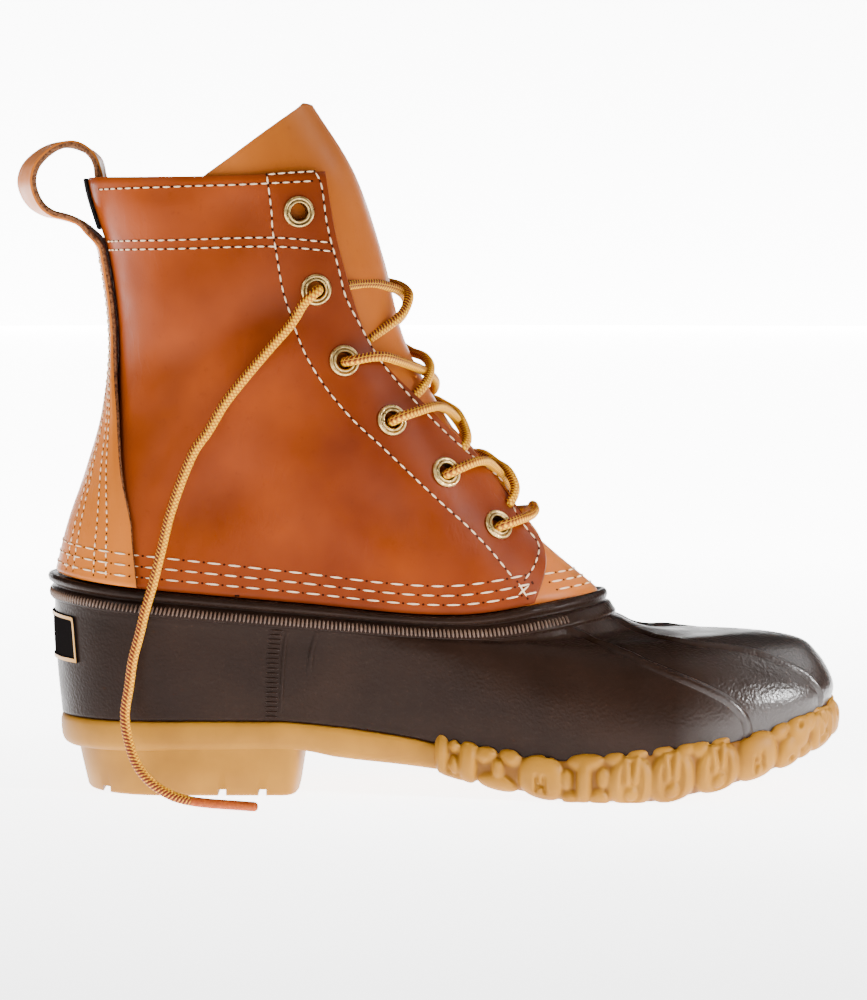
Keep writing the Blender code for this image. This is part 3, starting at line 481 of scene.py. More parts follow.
def rubber_finish(name, dark, light, gloss):
    """Satin brown rubber with the fine pebble of its mould, polished over the toes."""
    made, tree, shader = new_finish(name)
    place = object_place(tree)
    along_foot = node(tree, "ShaderNodeSeparateXYZ", {0: place}).outputs["X"]
    shine = spread(tree, along_foot, *(along(share) for share in TOE_SHINE), gloss, 9.0 * gloss)
    tree.links.new(shine, shader.inputs["Specular IOR Level"])
    patch = noise(tree, place, 0.03, 3)
    tint = mixed(tree, spread(tree, patch, 0.35, 0.7), dark, light)
    tree.links.new(tint, shader.inputs["Base Color"])
    pebble = noise(tree, place, 0.0011, 1.5, 0.4)
    cloud = noise(tree, place, 0.012, 2)
    tree.links.new(spread(tree, cloud, 0.3, 0.7, 0.30, 0.40), shader.inputs["Roughness"])
    tree.links.new(bumped(tree, pebble, 0.00030, 0.7), shader.inputs["Normal"])
    return made


def rim_at(t, share, step):
    """A point of the rim, a share of the way from the dome's top ring to the leather's edge.

    At the throat the rim passes to the apron, and at the back the strip pushes it out.
    """
    edge = shaft_at(t, 0)
    bare = ease(along(THROAT_FOOT[0]), along(THROAT_FOOT[1]), edge[..., 0])[..., None]
    behind = 1 - ease(along(STRIP_SIDE[0]), along(STRIP_SIDE[1]), edge[..., 0])[..., None]
    away = shaft_out(t, 0)
    top = edge - away * bare * (LEATHER_WALL + TONGUE_ROOM)
    foot = rubber_at(t, len(RUBBER) - 1)
    lift = step * (1 - 0.15 * bare) + share * behind * (STRAP_WALL + STRIP_ROOM)
    return foot + (top - foot) * share + away * lift


rubber = rubber_finish("moulded_rubber", colour(24, 14, 9), colour(31, 19, 13), 0.055)
shell_turns = even_turns(rubber_at, 2, SHELL_STATIONS)
wall_levels = np.concatenate([np.linspace(0, 5, 56), np.linspace(5, 8, 30)[1:]])
outer_wall = rubber_at(shell_turns[None, :], wall_levels[:, None])
rim_rows = [rim_at(shell_turns, share, step) for share, step in RIM_PROFILE]
shaft_edge = shaft_at(shell_turns, 0)
covered = ease(along(APRON_SIDE[0]), along(APRON_SIDE[1]), shaft_edge[:, 0])
flange_depth = LEATHER_WALL + GAP + FACET + covered * (TONGUE_WALL + TONGUE_ROOM)
flange_rows = [
    off_shaft(shell_turns, 0, -flange_depth) - np.array((0, 0, GAP)),
    off_shaft(shell_turns, FLANGE_TOP, -flange_depth),
    off_shaft(shell_turns, FLANGE_TOP, -flange_depth - FLANGE_WALL),
    off_shaft(shell_turns, 0, -flange_depth - FLANGE_WALL),
]
inner_levels = np.array((8, 7, 6, 5, 4, 3, 2, 1, 0.5, 0))
inner_wall = off_rubber(shell_turns[None, :], inner_levels[:, None], -RUBBER_WALL)
inner_wall[-1, :, 2] = outer_wall[0, :, 2]
shell_points = np.concatenate([outer_wall, np.stack(rim_rows), np.stack(flange_rows), inner_wall])
shell_faces = grid_faces(len(shell_points), len(shell_turns), close_rows=True, close_columns=True)
rubber_shell = mesh_piece("rubber_bottom", shell_points, shell_faces[:, ::-1], rubber)
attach(rubber_shell, "root")
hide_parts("rubber_shell")

# Moulded ridges of the rubber
# The mould leaves two thin ridges a side: one runs from the collar over the cheek of the dome to
# the sole, the other borders the broad band over the toes. Each is swept along the surface.
RIDGE_HALF_WIDTH = 0.0021
RIDGE_HEIGHT = 0.0013
RIDGE_STEP = 0.0010
# Each point is a turn round the foot and a section of the rubber's table
SIDE_RIDGE = (
    (0.802, 7.9), (0.796, 7.2), (0.722, 5.7), (0.690, 4.6), (0.688, 3.9), (0.698, 3.4), (0.713, 2.9),
    (0.730, 2.45), (0.753, 1.75), (0.766, 1.10), (0.774, 0.60), (0.780, 0.02),
)
BAND_RIDGE = (
    (0.936, 8.0), (0.936, 7.75), (0.925, 7.3), (0.888, 6.7), (0.818, 5.8), (0.788, 5.2), (0.780, 4.8),
    (0.787, 4.5), (0.802, 4.2), (0.820, 3.8), (0.845, 3.2), (0.864, 2.7), (0.881, 2.3), (0.894, 1.65),
    (0.905, 0.95), (0.912, 0.05),
)


def place_of(section, share):
    """The |t| at which a section reaches this share of the length."""
    part = (share - section.back) / (section.front - section.back)
    return math.acos(1 - 2 * min(max(part, 0), 1)) / math.pi


def surface_turn(sections, share, v):
    """|t| where the surface over these sections reaches a share of the length at section v."""
    places = [place_of(row, share) for row in sections]
    return through(range(len(sections)), places, v)


def stations(surface, turns, levels, spacing, per_step=1, short=0.0):
    """Evenly spaced (t, v) along a line over a surface, which may end a little short."""
    run = run_along(surface(turns, levels))
    length = run[-1] - short
    stops = np.linspace(0, length, max(round(length / spacing), 1) * per_step + 1)
    return np.interp(stops, run, turns), np.interp(stops, run, levels)


def smooth_columns(table, steps):
    """The two columns of a table as smooth curves, with this many steps a row."""
    knots = np.linspace(0, len(table) - 1, steps * len(table))
    return (through(range(len(table)), column, knots) for column in zip(*table))


def share_route(table, sign, spacing):
    """Stations on the rubber along a route given as shares of the length and sections."""
    shares, levels = smooth_columns(table, 60)
    turns = np.array([sign * surface_turn(RUBBER, a, b) for a, b in zip(shares, levels)])
    return stations(rubber_at, turns, levels, spacing)


def turn_route(table, sign, spacing):
    """Stations on the rubber along a route given as turns and sections."""
    turns, levels = smooth_columns(table, 40)
    return stations(rubber_at, sign * turns, levels, spacing)


def softened(rows):
    """Rows eased into their neighbours, with the first and last kept."""
    rows = np.array(rows)
    for _ in range(3):
        rows[1:-1] = (rows[:-2] + 2 * rows[1:-1] + rows[2:]) / 4
    return rows


def swept_rib(turns, levels, half_width, height):
    """Points and faces of a rounded rib that follows the rubber and fades at its ends."""
    line = softened(rubber_at(turns, levels))
    out = softened(rubber_out(turns, levels))
    heading = np.gradient(line, axis=0)
    heading /= np.linalg.norm(heading, axis=1, keepdims=True)
    across = np.cross(out, heading)
    across /= np.linalg.norm(across, axis=1, keepdims=True)
    share = np.linspace(-1.25, 1.25, 13)
    bell = np.where(np.abs(share) < 1, np.cos(np.clip(share, -1, 1) * np.pi / 2) ** 1.2, 0)
    sunk = -0.0004 * (np.abs(share) > 1)
    ends = np.minimum(np.arange(len(line)), np.arange(len(line))[::-1])
    fade = np.sqrt(np.clip(ends / 6, 0.05, 1))[:, None]
    lift = height * bell[None, :] * fade + sunk[None, :]
    points = line[:, None, :] + across[:, None, :] * (share * half_width)[None, :, None]
    points = points + out[:, None, :] * lift[..., None]
    return points.reshape(-1, 3), grid_faces(len(line), len(share))


def rubber_ribs(name, lines):
    """One piece of ribs. Each line gives its turns, its levels, a half width and a height."""
    points, faces, count = [], [], 0
    for turns, *rest in lines:
        rib, quads = swept_rib(turns, *rest)
        points.append(rib)
        faces.append((quads if turns[0] < 0 else quads[:, ::-1]) + count)
        count += len(rib)
    return mesh_piece(name, np.concatenate(points), np.concatenate(faces), rubber)


ridges = rubber_ribs("moulded_ridges", [
    (*turn_route(route, sign, RIDGE_STEP), RIDGE_HALF_WIDTH, RIDGE_HEIGHT)
    for route in (SIDE_RIDGE, BAND_RIDGE) for sign in (-1, 1)
])
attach(ridges, "root")

# Knurled ring and side ladder
# Short upright ribs all round the ring under the bead, which run out before the throat, and a
# column of short level ribs at each side of the waist. All are moulded with the rubber.
KNURL_PITCH = 0.0018
KNURL_LENGTH = 0.0034
KNURL_WIDTH = 0.00085
KNURL_HEIGHT = 0.0014
KNURL_SHARE = 0.25  # of the way from the dome's top ring to the leather
KNURL_END = 0.655  # share of the length where the ribs run out
LADDER_SHARE = (0.291, 0.283)  # of the length, at the top and bottom of the column
LADDER_LEVELS = (6.4, 0.15)
LADDER_PITCH = 0.0018
LADDER_BAR = (0.0050, 0.0010, 0.0009)  # length, width and height of a bar
KNURL_STEP = 0.0013  # how far the ring stands out under its ribs
# Fine upright lines beside the ladder: route in shares of the length and sections, half width, height
SIDE_LINES = (
    (((0.305, 6.4), (0.303, 5.0), (0.299, 2.5), (0.295, 0.3)), 0.0009, 0.0006),
    (((0.341, 6.9), (0.339, 5.5), (0.335, 3.6), (0.330, 1.8)), 0.0012, 0.0007),
)
SIDE_LINE_STEP = 0.0012


def lay_tree():
    """Geometry nodes that lay a small rounded piece on every point, along and out as it says."""
    tree = bpy.data.node_groups.new("lay_along_a_row", "GeometryNodeTree")
    for name, kind in (("Places", "NodeSocketGeometry"), ("Length", "NodeSocketFloat"),
                       ("Width", "NodeSocketFloat"), ("Height", "NodeSocketFloat"),
                       ("Finish", "NodeSocketMaterial")):
        tree.interface.new_socket(name, in_out="INPUT", socket_type=kind)
    tree.interface.new_socket("Pieces", in_out="OUTPUT", socket_type="NodeSocketGeometry")
    given = tree.nodes.new("NodeGroupInput").outputs
    sphere = node(tree, "GeometryNodeMeshUVSphere", {"Segments": 8, "Rings": 6, "Radius": 0.5})
    size = node(tree, "ShaderNodeCombineXYZ", {0: given["Length"], 1: given["Width"], 2: given["Height"]})
    shape = node(tree, "GeometryNodeTransform", {"Geometry": sphere.outputs[0], "Scale": size.outputs[0]})
    along_row = node(tree, "GeometryNodeInputNamedAttribute", {"Name": "along"}, data_type="FLOAT_VECTOR")
    out_of_row = node(tree, "GeometryNodeInputNamedAttribute", {"Name": "out"}, data_type="FLOAT_VECTOR")
    first = node(tree, "FunctionNodeAlignRotationToVector", {"Vector": along_row.outputs[0]}, axis="X")
    turn = node(
        tree, "FunctionNodeAlignRotationToVector",
        {"Rotation": first.outputs[0], "Vector": out_of_row.outputs[0]}, axis="Z", pivot_axis="X",
    )
    points = node(tree, "GeometryNodeMeshToPoints", {"Mesh": given["Places"]})
    laid = node(
        tree, "GeometryNodeInstanceOnPoints",
        {"Points": points.outputs[0], "Instance": shape.outputs[0], "Rotation": turn.outputs[0]},
    )
    real = node(tree, "GeometryNodeRealizeInstances", {0: laid.outputs[0]})
    smooth = node(tree, "GeometryNodeSetShadeSmooth", {0: real.outputs[0]})
    worn = {"Geometry": smooth.outputs[0], "Material": given["Finish"]}
    finished = node(tree, "GeometryNodeSetMaterial", worn)
    result = tree.nodes.new("NodeGroupOutput")
    tree.links.new(finished.outputs[0], result.inputs[0])
    return tree


LAY_TREE = lay_tree()


def laid_pieces(name, places, alongs, outs, size, finish):
    """One plain mesh of small rounded pieces: size is (length, width, height)."""
    mesh = bpy.data.meshes.new(name)
    mesh.from_pydata(np.reshape(places, (-1, 3)).tolist(), [], [])
    for key, values in (("along", alongs), ("out", outs)):
        layer = mesh.attributes.new(key, "FLOAT_VECTOR", "POINT")
        layer.data.foreach_set("vector", np.ravel(values).astype(np.float32))
    piece = put_in_scene(name, mesh)
    modifier = piece.modifiers.new("Lay", "NODES")
    modifier.node_group = LAY_TREE
    sockets = {item.name: item.identifier for item in LAY_TREE.interface.items_tree}
    for key, value in zip(("Length", "Width", "Height", "Finish"), (*size, finish)):
        modifier[sockets[key]] = value
    plain_mesh(piece)
    piece.data.materials.clear()
    piece.data.materials.append(finish)
    return piece


def plain_mesh(piece):
    """The piece with its modifiers worked into its mesh."""
    graph = bpy.context.evaluated_depsgraph_get()
    made = bpy.data.meshes.new_from_object(piece.evaluated_get(graph))
    made.name = piece.name
    piece.modifiers.clear()
    piece.data = made


def on_ring(t, up=0.0):
    """A place on the ring under the bead, a share of the rim's height above its middle."""
    return rim_at(t, KNURL_SHARE + up, KNURL_STEP)


ring_turns = even_turns(lambda t, v: on_ring(t), 0, round(0.60 / KNURL_PITCH))
ring_turns = ring_turns[on_ring(ring_turns)[:, 0] < along(KNURL_END)]
# Painted highlight: the knurl's ribs are a lighter, glossier copy of the rubber, for the light they catch.
rib_highlight_finish = rubber_finish("rib_tops_painted_highlight", colour(70, 50, 38), colour(96, 74, 60), 0.35)
knurl = laid_pieces(
    "knurled_ring", on_ring(ring_turns), on_ring(ring_turns, 0.2) - on_ring(ring_turns, -0.2),
    shaft_out(ring_turns, 0), (KNURL_LENGTH, KNURL_WIDTH, KNURL_HEIGHT), rib_highlight_finish,
)
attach(knurl, "root")

side_lines = rubber_ribs("side_lines", [
    (*share_route(route, sign, SIDE_LINE_STEP), *size) for route, *size in SIDE_LINES for sign in (-1, 1)
])
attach(side_lines, "root")

columns = [share_route(tuple(zip(LADDER_SHARE, LADDER_LEVELS)), sign, LADDER_PITCH) for sign in (-1, 1)]
turns, levels = np.concatenate(columns, axis=1)
ladder = laid_pieces(
    "side_ladder", rubber_at(turns, levels),
    rubber_at(turns + 0.01, levels) - rubber_at(turns - 0.01, levels),
    rubber_out(turns, levels), LADDER_BAR, rubber,
)
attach(ladder, "root")

# Gum sole
# One moulding of gum rubber: a plain band round the heel and the arch, a block under the heel,
# and round the forefoot a tread of thick rounded links that stand out like a heavy chain.
SOLE_BOTTOM = (
    (0.0136, 0.589), (0.315, 0.600), (0.366, 0.507), (0.461, 0.393), (0.498, 0.339),
    (0.542, 0.211), (0.593, 0.104), (0.654, 0.000), (0.749, 0.000), (0.797, 0.079),
    (0.844, 0.189), (0.892, 0.332), (0.942, 0.514), (0.986, 0.714),
)
TREAD_START = 0.485
TREAD_FADE = 0.03
TREAD_RECESS = 0.0022
LUMP_PITCH = 0.0153
HEEL_BLOCK_WIDTH = 0.062
HEEL_BLOCK_BACK = 0.047
HEEL_BLOCK_FRONT = 0.316
HEEL_GROOVE_WIDTH = 0.003
HEEL_GROOVE_DEPTH = 0.0025
HEEL_GROOVES = (0.075, 0.221, 0.271)
# Side of the heel block from the ground up: height, share of its growth, inset of its rounded foot
BLOCK_PROFILE = (
    (0.0, 0.0, 0.0016), (0.0003, 0.0, 0.0007), (0.0012, 0.02, 0.0), (0.010, 0.6, 0.0), (0.0185, 1.1, 0.0),
)
BLOCK_STATIONS = 200
SOLE_STATIONS = 620
# Side of the band from below upwards: offset from the feather line and share of the height
BAND_PROFILE = (
    (-0.0110, 0.02), (-0.0040, 0.0), (-0.0024, 0.02), (-0.0012, 0.08), (-0.0004, 0.18), (0.0001, 0.32),
    (0.0004, 0.55), (0.0004, 0.80), (0.0001, 0.93), (-0.0005, 0.985), (-0.0022, 1.0), (-0.0080, 0.99),
)


def gum_finish():
    """Matt gum rubber with painted shade: browner between the lumps and towards the ground."""
    made, tree, shader = new_finish("gum_rubber", Roughness=0.52, Specular_IOR_Level=0.15)
    place = object_place(tree)
    cloud = spread(tree, noise(tree, place, 0.02, 3), 0.3, 0.7)
    base = mixed(tree, cloud, colour(120, 78, 12), colour(142, 96, 20))
    # Painted shade between the lumps and underneath.
    hollow_shade = mixed(tree, attribute(tree, "hollow_shade"), base, colour(84, 46, 10))
    tree.links.new(hollow_shade, shader.inputs["Base Color"])
    fine = noise(tree, place, 0.0009, 2)
    tree.links.new(bumped(tree, fine, 0.0001, 0.35), shader.inputs["Normal"])
    return made


def feather_line(turns):
    """The line where rubber meets sole, and the level direction out from it, at each turn."""
    beside = rubber_at(turns + 0.004, 0) - rubber_at(turns - 0.004, 0)
    side = np.stack([-beside[:, 1], beside[:, 0], np.zeros(len(turns))], axis=1)
    return rubber_at(turns, 0), side / np.linalg.norm(side, axis=1, keepdims=True)


def cap_faces(start, columns):
    """Quads across a closed row of vertices from its two sides."""
    half = columns // 2
    faces = [(start, start + 1, start + columns - 1), (start + half - 1, start + half, start + half + 1)]
    for j in range(1, half - 1):
        faces.append((start + j, start + j + 1, start + columns - j - 1, start + columns - j))
    return faces


def capped_faces(rows, columns):
    """Faces round a stack of closed rows, and across its bottom and its top."""
    faces = [tuple(f) for f in grid_faces(rows, columns, close_columns=True)[:, ::-1]]
    return faces + [f[::-1] for f in cap_faces(0, columns)] + cap_faces((rows - 1) * columns, columns)


gum = gum_finish()
feather, sole_side = feather_line(even_turns(rubber_at, 0, SOLE_STATIONS))
sole_low = line_height(SOLE_BOTTOM, feather[:, 0])
sole_high = line_height(SOLE_TOP, feather[:, 0])
in_tread = ease(along(TREAD_START), along(TREAD_START + TREAD_FADE), feather[:, 0])
band_rows = []
for out, share in BAND_PROFILE:
    row = feather + sole_side * (out - 0.0012 * in_tread)[:, None]
    row[:, 2] = sole_low + (sole_high - sole_low) * share + TREAD_RECESS * in_tread * (share < 0.2)
    band_rows.append(row)
band_faces = capped_faces(len(band_rows), SOLE_STATIONS)
zero = np.zeros((len(band_rows), SOLE_STATIONS))
gum_band = mesh_piece("gum_sole", np.stack(band_rows), band_faces, gum, {"hollow_shade": zero})

block_rows = []
half_share = HEEL_BLOCK_WIDTH / 2 / BALL_WIDTH
block_turns = -1 + np.arange(BLOCK_STATIONS) / (BLOCK_STATIONS / 2)
for z, grow, inset in BLOCK_PROFILE:
    half_width = half_share * (1 + 0.05 * grow) - inset / BALL_WIDTH
    inset_share = inset / LENGTH
    section = Section(
        HEEL_BLOCK_BACK - 0.012 * grow + inset_share, 0.150, HEEL_BLOCK_FRONT - 0.03,
        HEEL_BLOCK_FRONT + 0.008 * grow - inset_share, half_width, half_width, half_width, half_width,
        half_width, 5.0, 0, 0, 0, 0,
    )
    ring = section_ring(section, BALL_WIDTH, RIM_HEIGHT, block_turns)
    ring[:, 2] = z
    block_rows.append(ring)
block_faces = capped_faces(len(block_rows), BLOCK_STATIONS)
zero = np.zeros((len(block_rows), BLOCK_STATIONS))
heel_block = mesh_piece("heel_block", np.stack(block_rows), block_faces, gum, {"hollow_shade": zero})


def cut_away(piece, shape):
    """Takes the solids of a bmesh out of a piece."""
    mesh = bpy.data.meshes.new("cutter")
    shape.to_mesh(mesh)
    shape.free()
    cutter = put_in_scene("cutter", mesh)
    cut = piece.modifiers.new("Cut", "BOOLEAN")
    cut.object, cut.operation, cut.solver = cutter, "DIFFERENCE", "EXACT"
    plain_mesh(piece)
    bpy.data.objects.remove(cutter)


for share in HEEL_GROOVES:
    groove = bmesh.new()
    size = Matrix.Diagonal((HEEL_GROOVE_WIDTH, BALL_WIDTH, 2 * HEEL_GROOVE_DEPTH, 1))
    bmesh.ops.create_cube(groove, size=1, matrix=Matrix.Translation((along(share), 0, 0)) @ size)
    cut_away(heel_block, groove)
heel_block.data.set_sharp_from_angle(angle=math.radians(50))

# Chain tread round the forefoot
# Moulded in one with the sole: a border of fat rounded lumps like the links of a heavy chain, cut
# by narrow grooves. Their tops lap over the rubber's edge, and under the foot stand rows of lugs.
BORDER_BEND = 0.0042  # how far the border curves in above and below
BORDER_PROUD = 0.0006
LUMP_RELIEF = 0.0040
LUMP_GROWTH = 1.09  # of each lump's flat map, so that neighbours touch
SCALLOP = 0.0020  # how far the lumps' tops lap over the rubber
BORDER_COLUMN = 0.00040
BORDER_ROWS = 76
MAP_HALF = 8.8  # half height of a lump's flat map, in mm
MAP_PITCH = 15.3  # and its width
MAP_REACH = 11  # how far from its middle a lump may stand out, in mm
BORDER_ARC = (-0.58, 0.55)  # half turns of the border's section, from under the foot to the rubber
BORDER_GROUND = 0.25  # height between the lumps, as a share of a lump's
BORDER_TOP = (0.30, -0.1)  # half turns above which the border lies low, and that height
LUG_LENGTH = 0.0110
LUG_FILL = 0.86


def pillow(distance):
    """Rounded flat-topped height: 1 in the middle, 0 at distance 1, below 0 outside."""
    return np.where(distance < 1, np.sqrt(np.clip(1 - distance**3, 0, 1)), 1.2 * (1 - distance))


def oval(x, y, cx, cy, a, b, lean=0.0):
    """Pillow over an ellipse of the map, in mm."""
    c, s = math.cos(lean), math.sin(lean)
    dx, dy = x - cx, y - cy
    return pillow(np.hypot((dx * c + dy * s) / a, (dy * c - dx * s) / b))


def stroke(x, y, start, end, radius):
    """Pillow along a straight bar of the map, in mm."""
    (ax, ay), (bx, by) = start, end
    length = (bx - ax) ** 2 + (by - ay) ** 2
    part = np.clip(((x - ax) * (bx - ax) + (y - ay) * (by - ay)) / length, 0, 1)
    return pillow(np.hypot(x - ax - part * (bx - ax), y - ay - part * (by - ay)) / radius)


def slot_h(x, y, cx, cy, half, tall):
    """Depth of an H-shaped slot, where the ends of two links meet in the hole of a third."""
    bars = np.maximum(
        stroke(x, y, (cx - half, cy - tall), (cx - half + 0.2, cy + tall), 0.55),
        stroke(x, y, (cx + half, cy - tall), (cx + half - 0.3, cy + tall), 0.55),
    )
    return np.clip(np.maximum(bars, stroke(x, y, (cx - half, cy), (cx + half, cy), 0.45)), 0, 1)


def fingers_lump(x, y):
    """Two upright links joined at the foot, with small ones between."""
    return np.maximum.reduce([
        stroke(x, y, (-4.9, 5.6), (-4.6, -3.6), 2.8), stroke(x, y, (4.7, 5.2), (3.9, -5.0), 3.0),
        oval(x, y, -0.2, 4.0, 1.9, 2.6), oval(x, y, -0.1, -1.9, 1.8, 2.8), oval(x, y, -0.6, -6.0, 5.6, 2.9),
    ])


def fork_lump(x, y):
    """A broad link below, with two that lean apart above it."""
    return np.maximum.reduce([
        oval(x, y, -3.9, 3.7, 3.9, 3.1, 0.5), oval(x, y, 3.9, 4.2, 3.9, 3.1, -0.5),
        oval(x, y, -0.2, -4.6, 6.9, 4.1), oval(x, y, 0.0, 0.3, 2.0, 2.4),
        0.82 * oval(x, y, 0.3, 7.2, 2.6, 1.8),
    ])


def disc_lump(x, y):
    """A round link with its slot, and a small one on top."""
    body = np.maximum(oval(x, y, 0, -0.8, 7.5, 7.7), 0.7 * oval(x, y, -1.0, 7.4, 3.4, 2.2))
    pit = np.clip(oval(x, y, 1.8, 5.6, 0.9, 0.9), 0, 1)
    return body - 0.5 * slot_h(x, y, 0.1, -1.4, 1.4, 1.2) - 0.4 * pit


def cap_lump(x, y):
    """A level link on a stem, between four small ones."""
    return np.maximum.reduce([
        oval(x, y, 0.2, 4.6, 6.2, 3.3), stroke(x, y, (0, 2.5), (-0.4, -4.2), 2.3),
        oval(x, y, -4.5, -5.0, 3.3, 3.1, 0.3), oval(x, y, 4.6, -4.8, 3.5, 3.3, -0.3),
        0.7 * oval(x, y, -5.6, 0.0, 2.2, 2.2), 0.7 * oval(x, y, 5.8, 0.4, 2.0, 2.2),
    ])


def ring_lump(x, y):
    """A link seen from its end, with the ends of two others in its hole."""
    ring = np.maximum.reduce([
        oval(x, y, 0.4, -1.4, 7.5, 7.0), 0.9 * oval(x, y, -4.7, 5.6, 3.6, 3.1),
        0.92 * oval(x, y, 2.7, 6.4, 4.0, 2.7),
    ])
    hole = np.clip(oval(x, y, 0.5, -0.9, 3.9, 4.3), 0, 1)
    inside = np.maximum.reduce([
        stroke(x, y, (-1.2, 3.6), (-0.7, 0.2), 1.45), stroke(x, y, (2.4, 3.4), (1.9, 0.3), 1.35),
        oval(x, y, 0.5, -3.0, 2.5, 2.2),
    ])
    return np.maximum(ring - 0.55 * hole, 0.95 * inside)


def knot_lump(x, y):
    """Softer lump nearer the toe, with small round pits."""
    body = np.maximum.reduce([
        oval(x, y, -2.6, -2.6, 5.0, 5.4, 0.4), oval(x, y, 3.4, 2.2, 4.8, 5.6, 0.3),
        0.85 * oval(x, y, -3.4, 5.4, 3.8, 3.0), 0.8 * oval(x, y, 4.4, -5.6, 3.6, 3.0),
    ])
    pits = np.clip(np.maximum(oval(x, y, -2.4, -2.2, 1.1, 0.9), oval(x, y, 3.2, 2.4, 1.2, 0.9)), 0, 1)
    return body - 0.5 * pits


# Lumps of one side from the heel end: shape, lean in radians, mirrored or not
SIDE_LUMPS = (
    (fingers_lump, 0.0, 1), (fork_lump, 0.0, 1), (disc_lump, 0.0, 1), (cap_lump, 0.0, 1),
    (ring_lump, 0.0, 1), (ring_lump, 0.05, -1), (ring_lump, 0.1, 1), (disc_lump, 0.2, -1),
    (knot_lump, 0.3, 1), (ring_lump, 0.4, 1), (knot_lump, 0.3, -1), (disc_lump, 0.3, 1),
    (knot_lump, 0.2, 1), (ring_lump, 0.2, -1), (knot_lump, 0.1, 1), (disc_lump, 0.0, 1),
)

half_turns = np.linspace(0, 1, 4001)
half_line = rubber_at(half_turns, 0)
half_run = run_along(half_line[:, :2])
tread_from = float(np.interp(along(TREAD_START), half_line[:, 0], half_run))
tread_length = half_run[-1] - tread_from
lump_count = round(tread_length / LUMP_PITCH)
lump_pitch = tread_length / lump_count
border_run = np.linspace(0, tread_length, round(tread_length / BORDER_COLUMN))
border_half = np.interp(border_run + tread_from, half_run, half_turns)
border_turns = np.concatenate([-border_half, border_half[-2::-1]])
border_place = np.concatenate([border_run, border_run[-2::-1]])
border_line, border_side = feather_line(border_turns)
border_low = line_height(SOLE_BOTTOM, border_line[:, 0]) + 0.0008
border_high = line_height(SOLE_TOP, border_line[:, 0]) + SCALLOP
half_height = (border_high - border_low)[None, :] / 2
angles = np.linspace(*BORDER_ARC, BORDER_ROWS)[:, None] * np.pi
bend_out = np.sign(np.cos(angles)) * np.abs(np.cos(angles)) ** 0.5
bend_up = np.sign(np.sin(angles)) * np.abs(np.sin(angles)) ** 0.8
map_up = MAP_HALF * np.clip(angles / (np.pi / 2), -1.1, 1.1)
relief = np.full((BORDER_ROWS, len(border_turns)), BORDER_GROUND)
relief[angles[:, 0] > BORDER_TOP[0] * np.pi] = BORDER_TOP[1]
for number in range(lump_count):
    shape, lean, mirror = SIDE_LUMPS[number % len(SIDE_LUMPS)]
    x = (border_place - (number + 0.5) * lump_pitch) * MAP_PITCH / lump_pitch
    reached = np.flatnonzero(np.abs(x) < MAP_REACH)
    x, y = np.broadcast_arrays(x[reached][None, :], map_up)
    c, s = math.cos(lean), math.sin(lean)
    lump = shape(mirror * (x * c + y * s) / LUMP_GROWTH, (y * c - x * s) / LUMP_GROWTH)
    relief[:, reached] = np.maximum(relief[:, reached], lump)
for _ in range(2):
    relief[:, 1:-1] = (relief[:, :-2] + 2 * relief[:, 1:-1] + relief[:, 2:]) / 4
    relief[1:-1] = (relief[:-2] + 2 * relief[1:-1] + relief[2:]) / 4
soft_toe = 1 - 0.25 * ease(0.10, 0.15, border_place)[None, :]
height = np.clip(relief, -0.15, 1.2) * soft_toe
ends = np.sqrt(np.clip(border_place / 0.0022, 0, 1))[None, :]
out_by = BORDER_PROUD - BORDER_BEND + BORDER_BEND * bend_out
push = LUMP_RELIEF * (height * ends - 0.6 * (1 - ends))
points = border_line + border_side * (out_by + push * np.clip(np.cos(angles), 0.2, 1))[..., None]
middle = (border_low + border_high)[None, :] / 2
points[..., 2] = middle + half_height * bend_up + push * np.sin(angles) * 0.62
points[..., 2] = np.maximum(points[..., 2], 0.0001)
# Painted shade: darker between the lumps and on the underside of the border.
hollow_shade = np.clip((0.58 - relief) / 0.45, 0, 1) ** 1.2 + 0.3 * np.clip(-np.sin(angles) - 0.55, 0, 1)
border_faces = grid_faces(BORDER_ROWS, len(border_turns))[:, ::-1]
chain_tread = mesh_piece("chain_tread", points, border_faces, gum, {"hollow_shade": np.clip(hollow_shade, 0, 1)})

lug_shape = bmesh.new()
first, last = along(TREAD_START) + 0.024, along(0.93)
for number in range(int((last - first) / LUMP_PITCH)):
    x = first + number * LUMP_PITCH
    low = float(line_height(SOLE_BOTTOM, x))
    width = float(np.interp(x, (first, along(0.70), last), (0.034, 0.044, 0.026)))
    for sign in (-1, 1):
        depth = TREAD_RECESS + 0.002
        place = Matrix.Translation((x, sign * width / 4 + float(swing(x)), low + depth / 2))
        size = Matrix.Diagonal((LUG_LENGTH, width / 2 * LUG_FILL, depth, 1))
        bmesh.ops.create_cone(
            lug_shape, cap_ends=True, segments=24, radius1=0.5, radius2=0.5, depth=1, matrix=place @ size
        )
bmesh.ops.bevel(lug_shape, geom=lug_shape.edges, offset=0.0005, segments=2, affect="EDGES")
lug_mesh = bpy.data.meshes.new("tread_lugs")
lug_shape.to_mesh(lug_mesh)
lug_shape.free()
lug_mesh.materials.append(gum)
lug_mesh.shade_smooth()
lug_mesh.set_sharp_from_angle(angle=math.radians(40))
tread_lugs = put_in_scene("tread_lugs", lug_mesh)
for piece in (gum_band, heel_block, chain_tread, tread_lugs):
    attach(piece, "root")
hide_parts("outsole")

# Insole
# A fibre board with a thin felt face, cut flat and laid on the sole inside the rubber.
INSOLE_THICKNESS = 0.004
INSOLE_STATIONS = 240

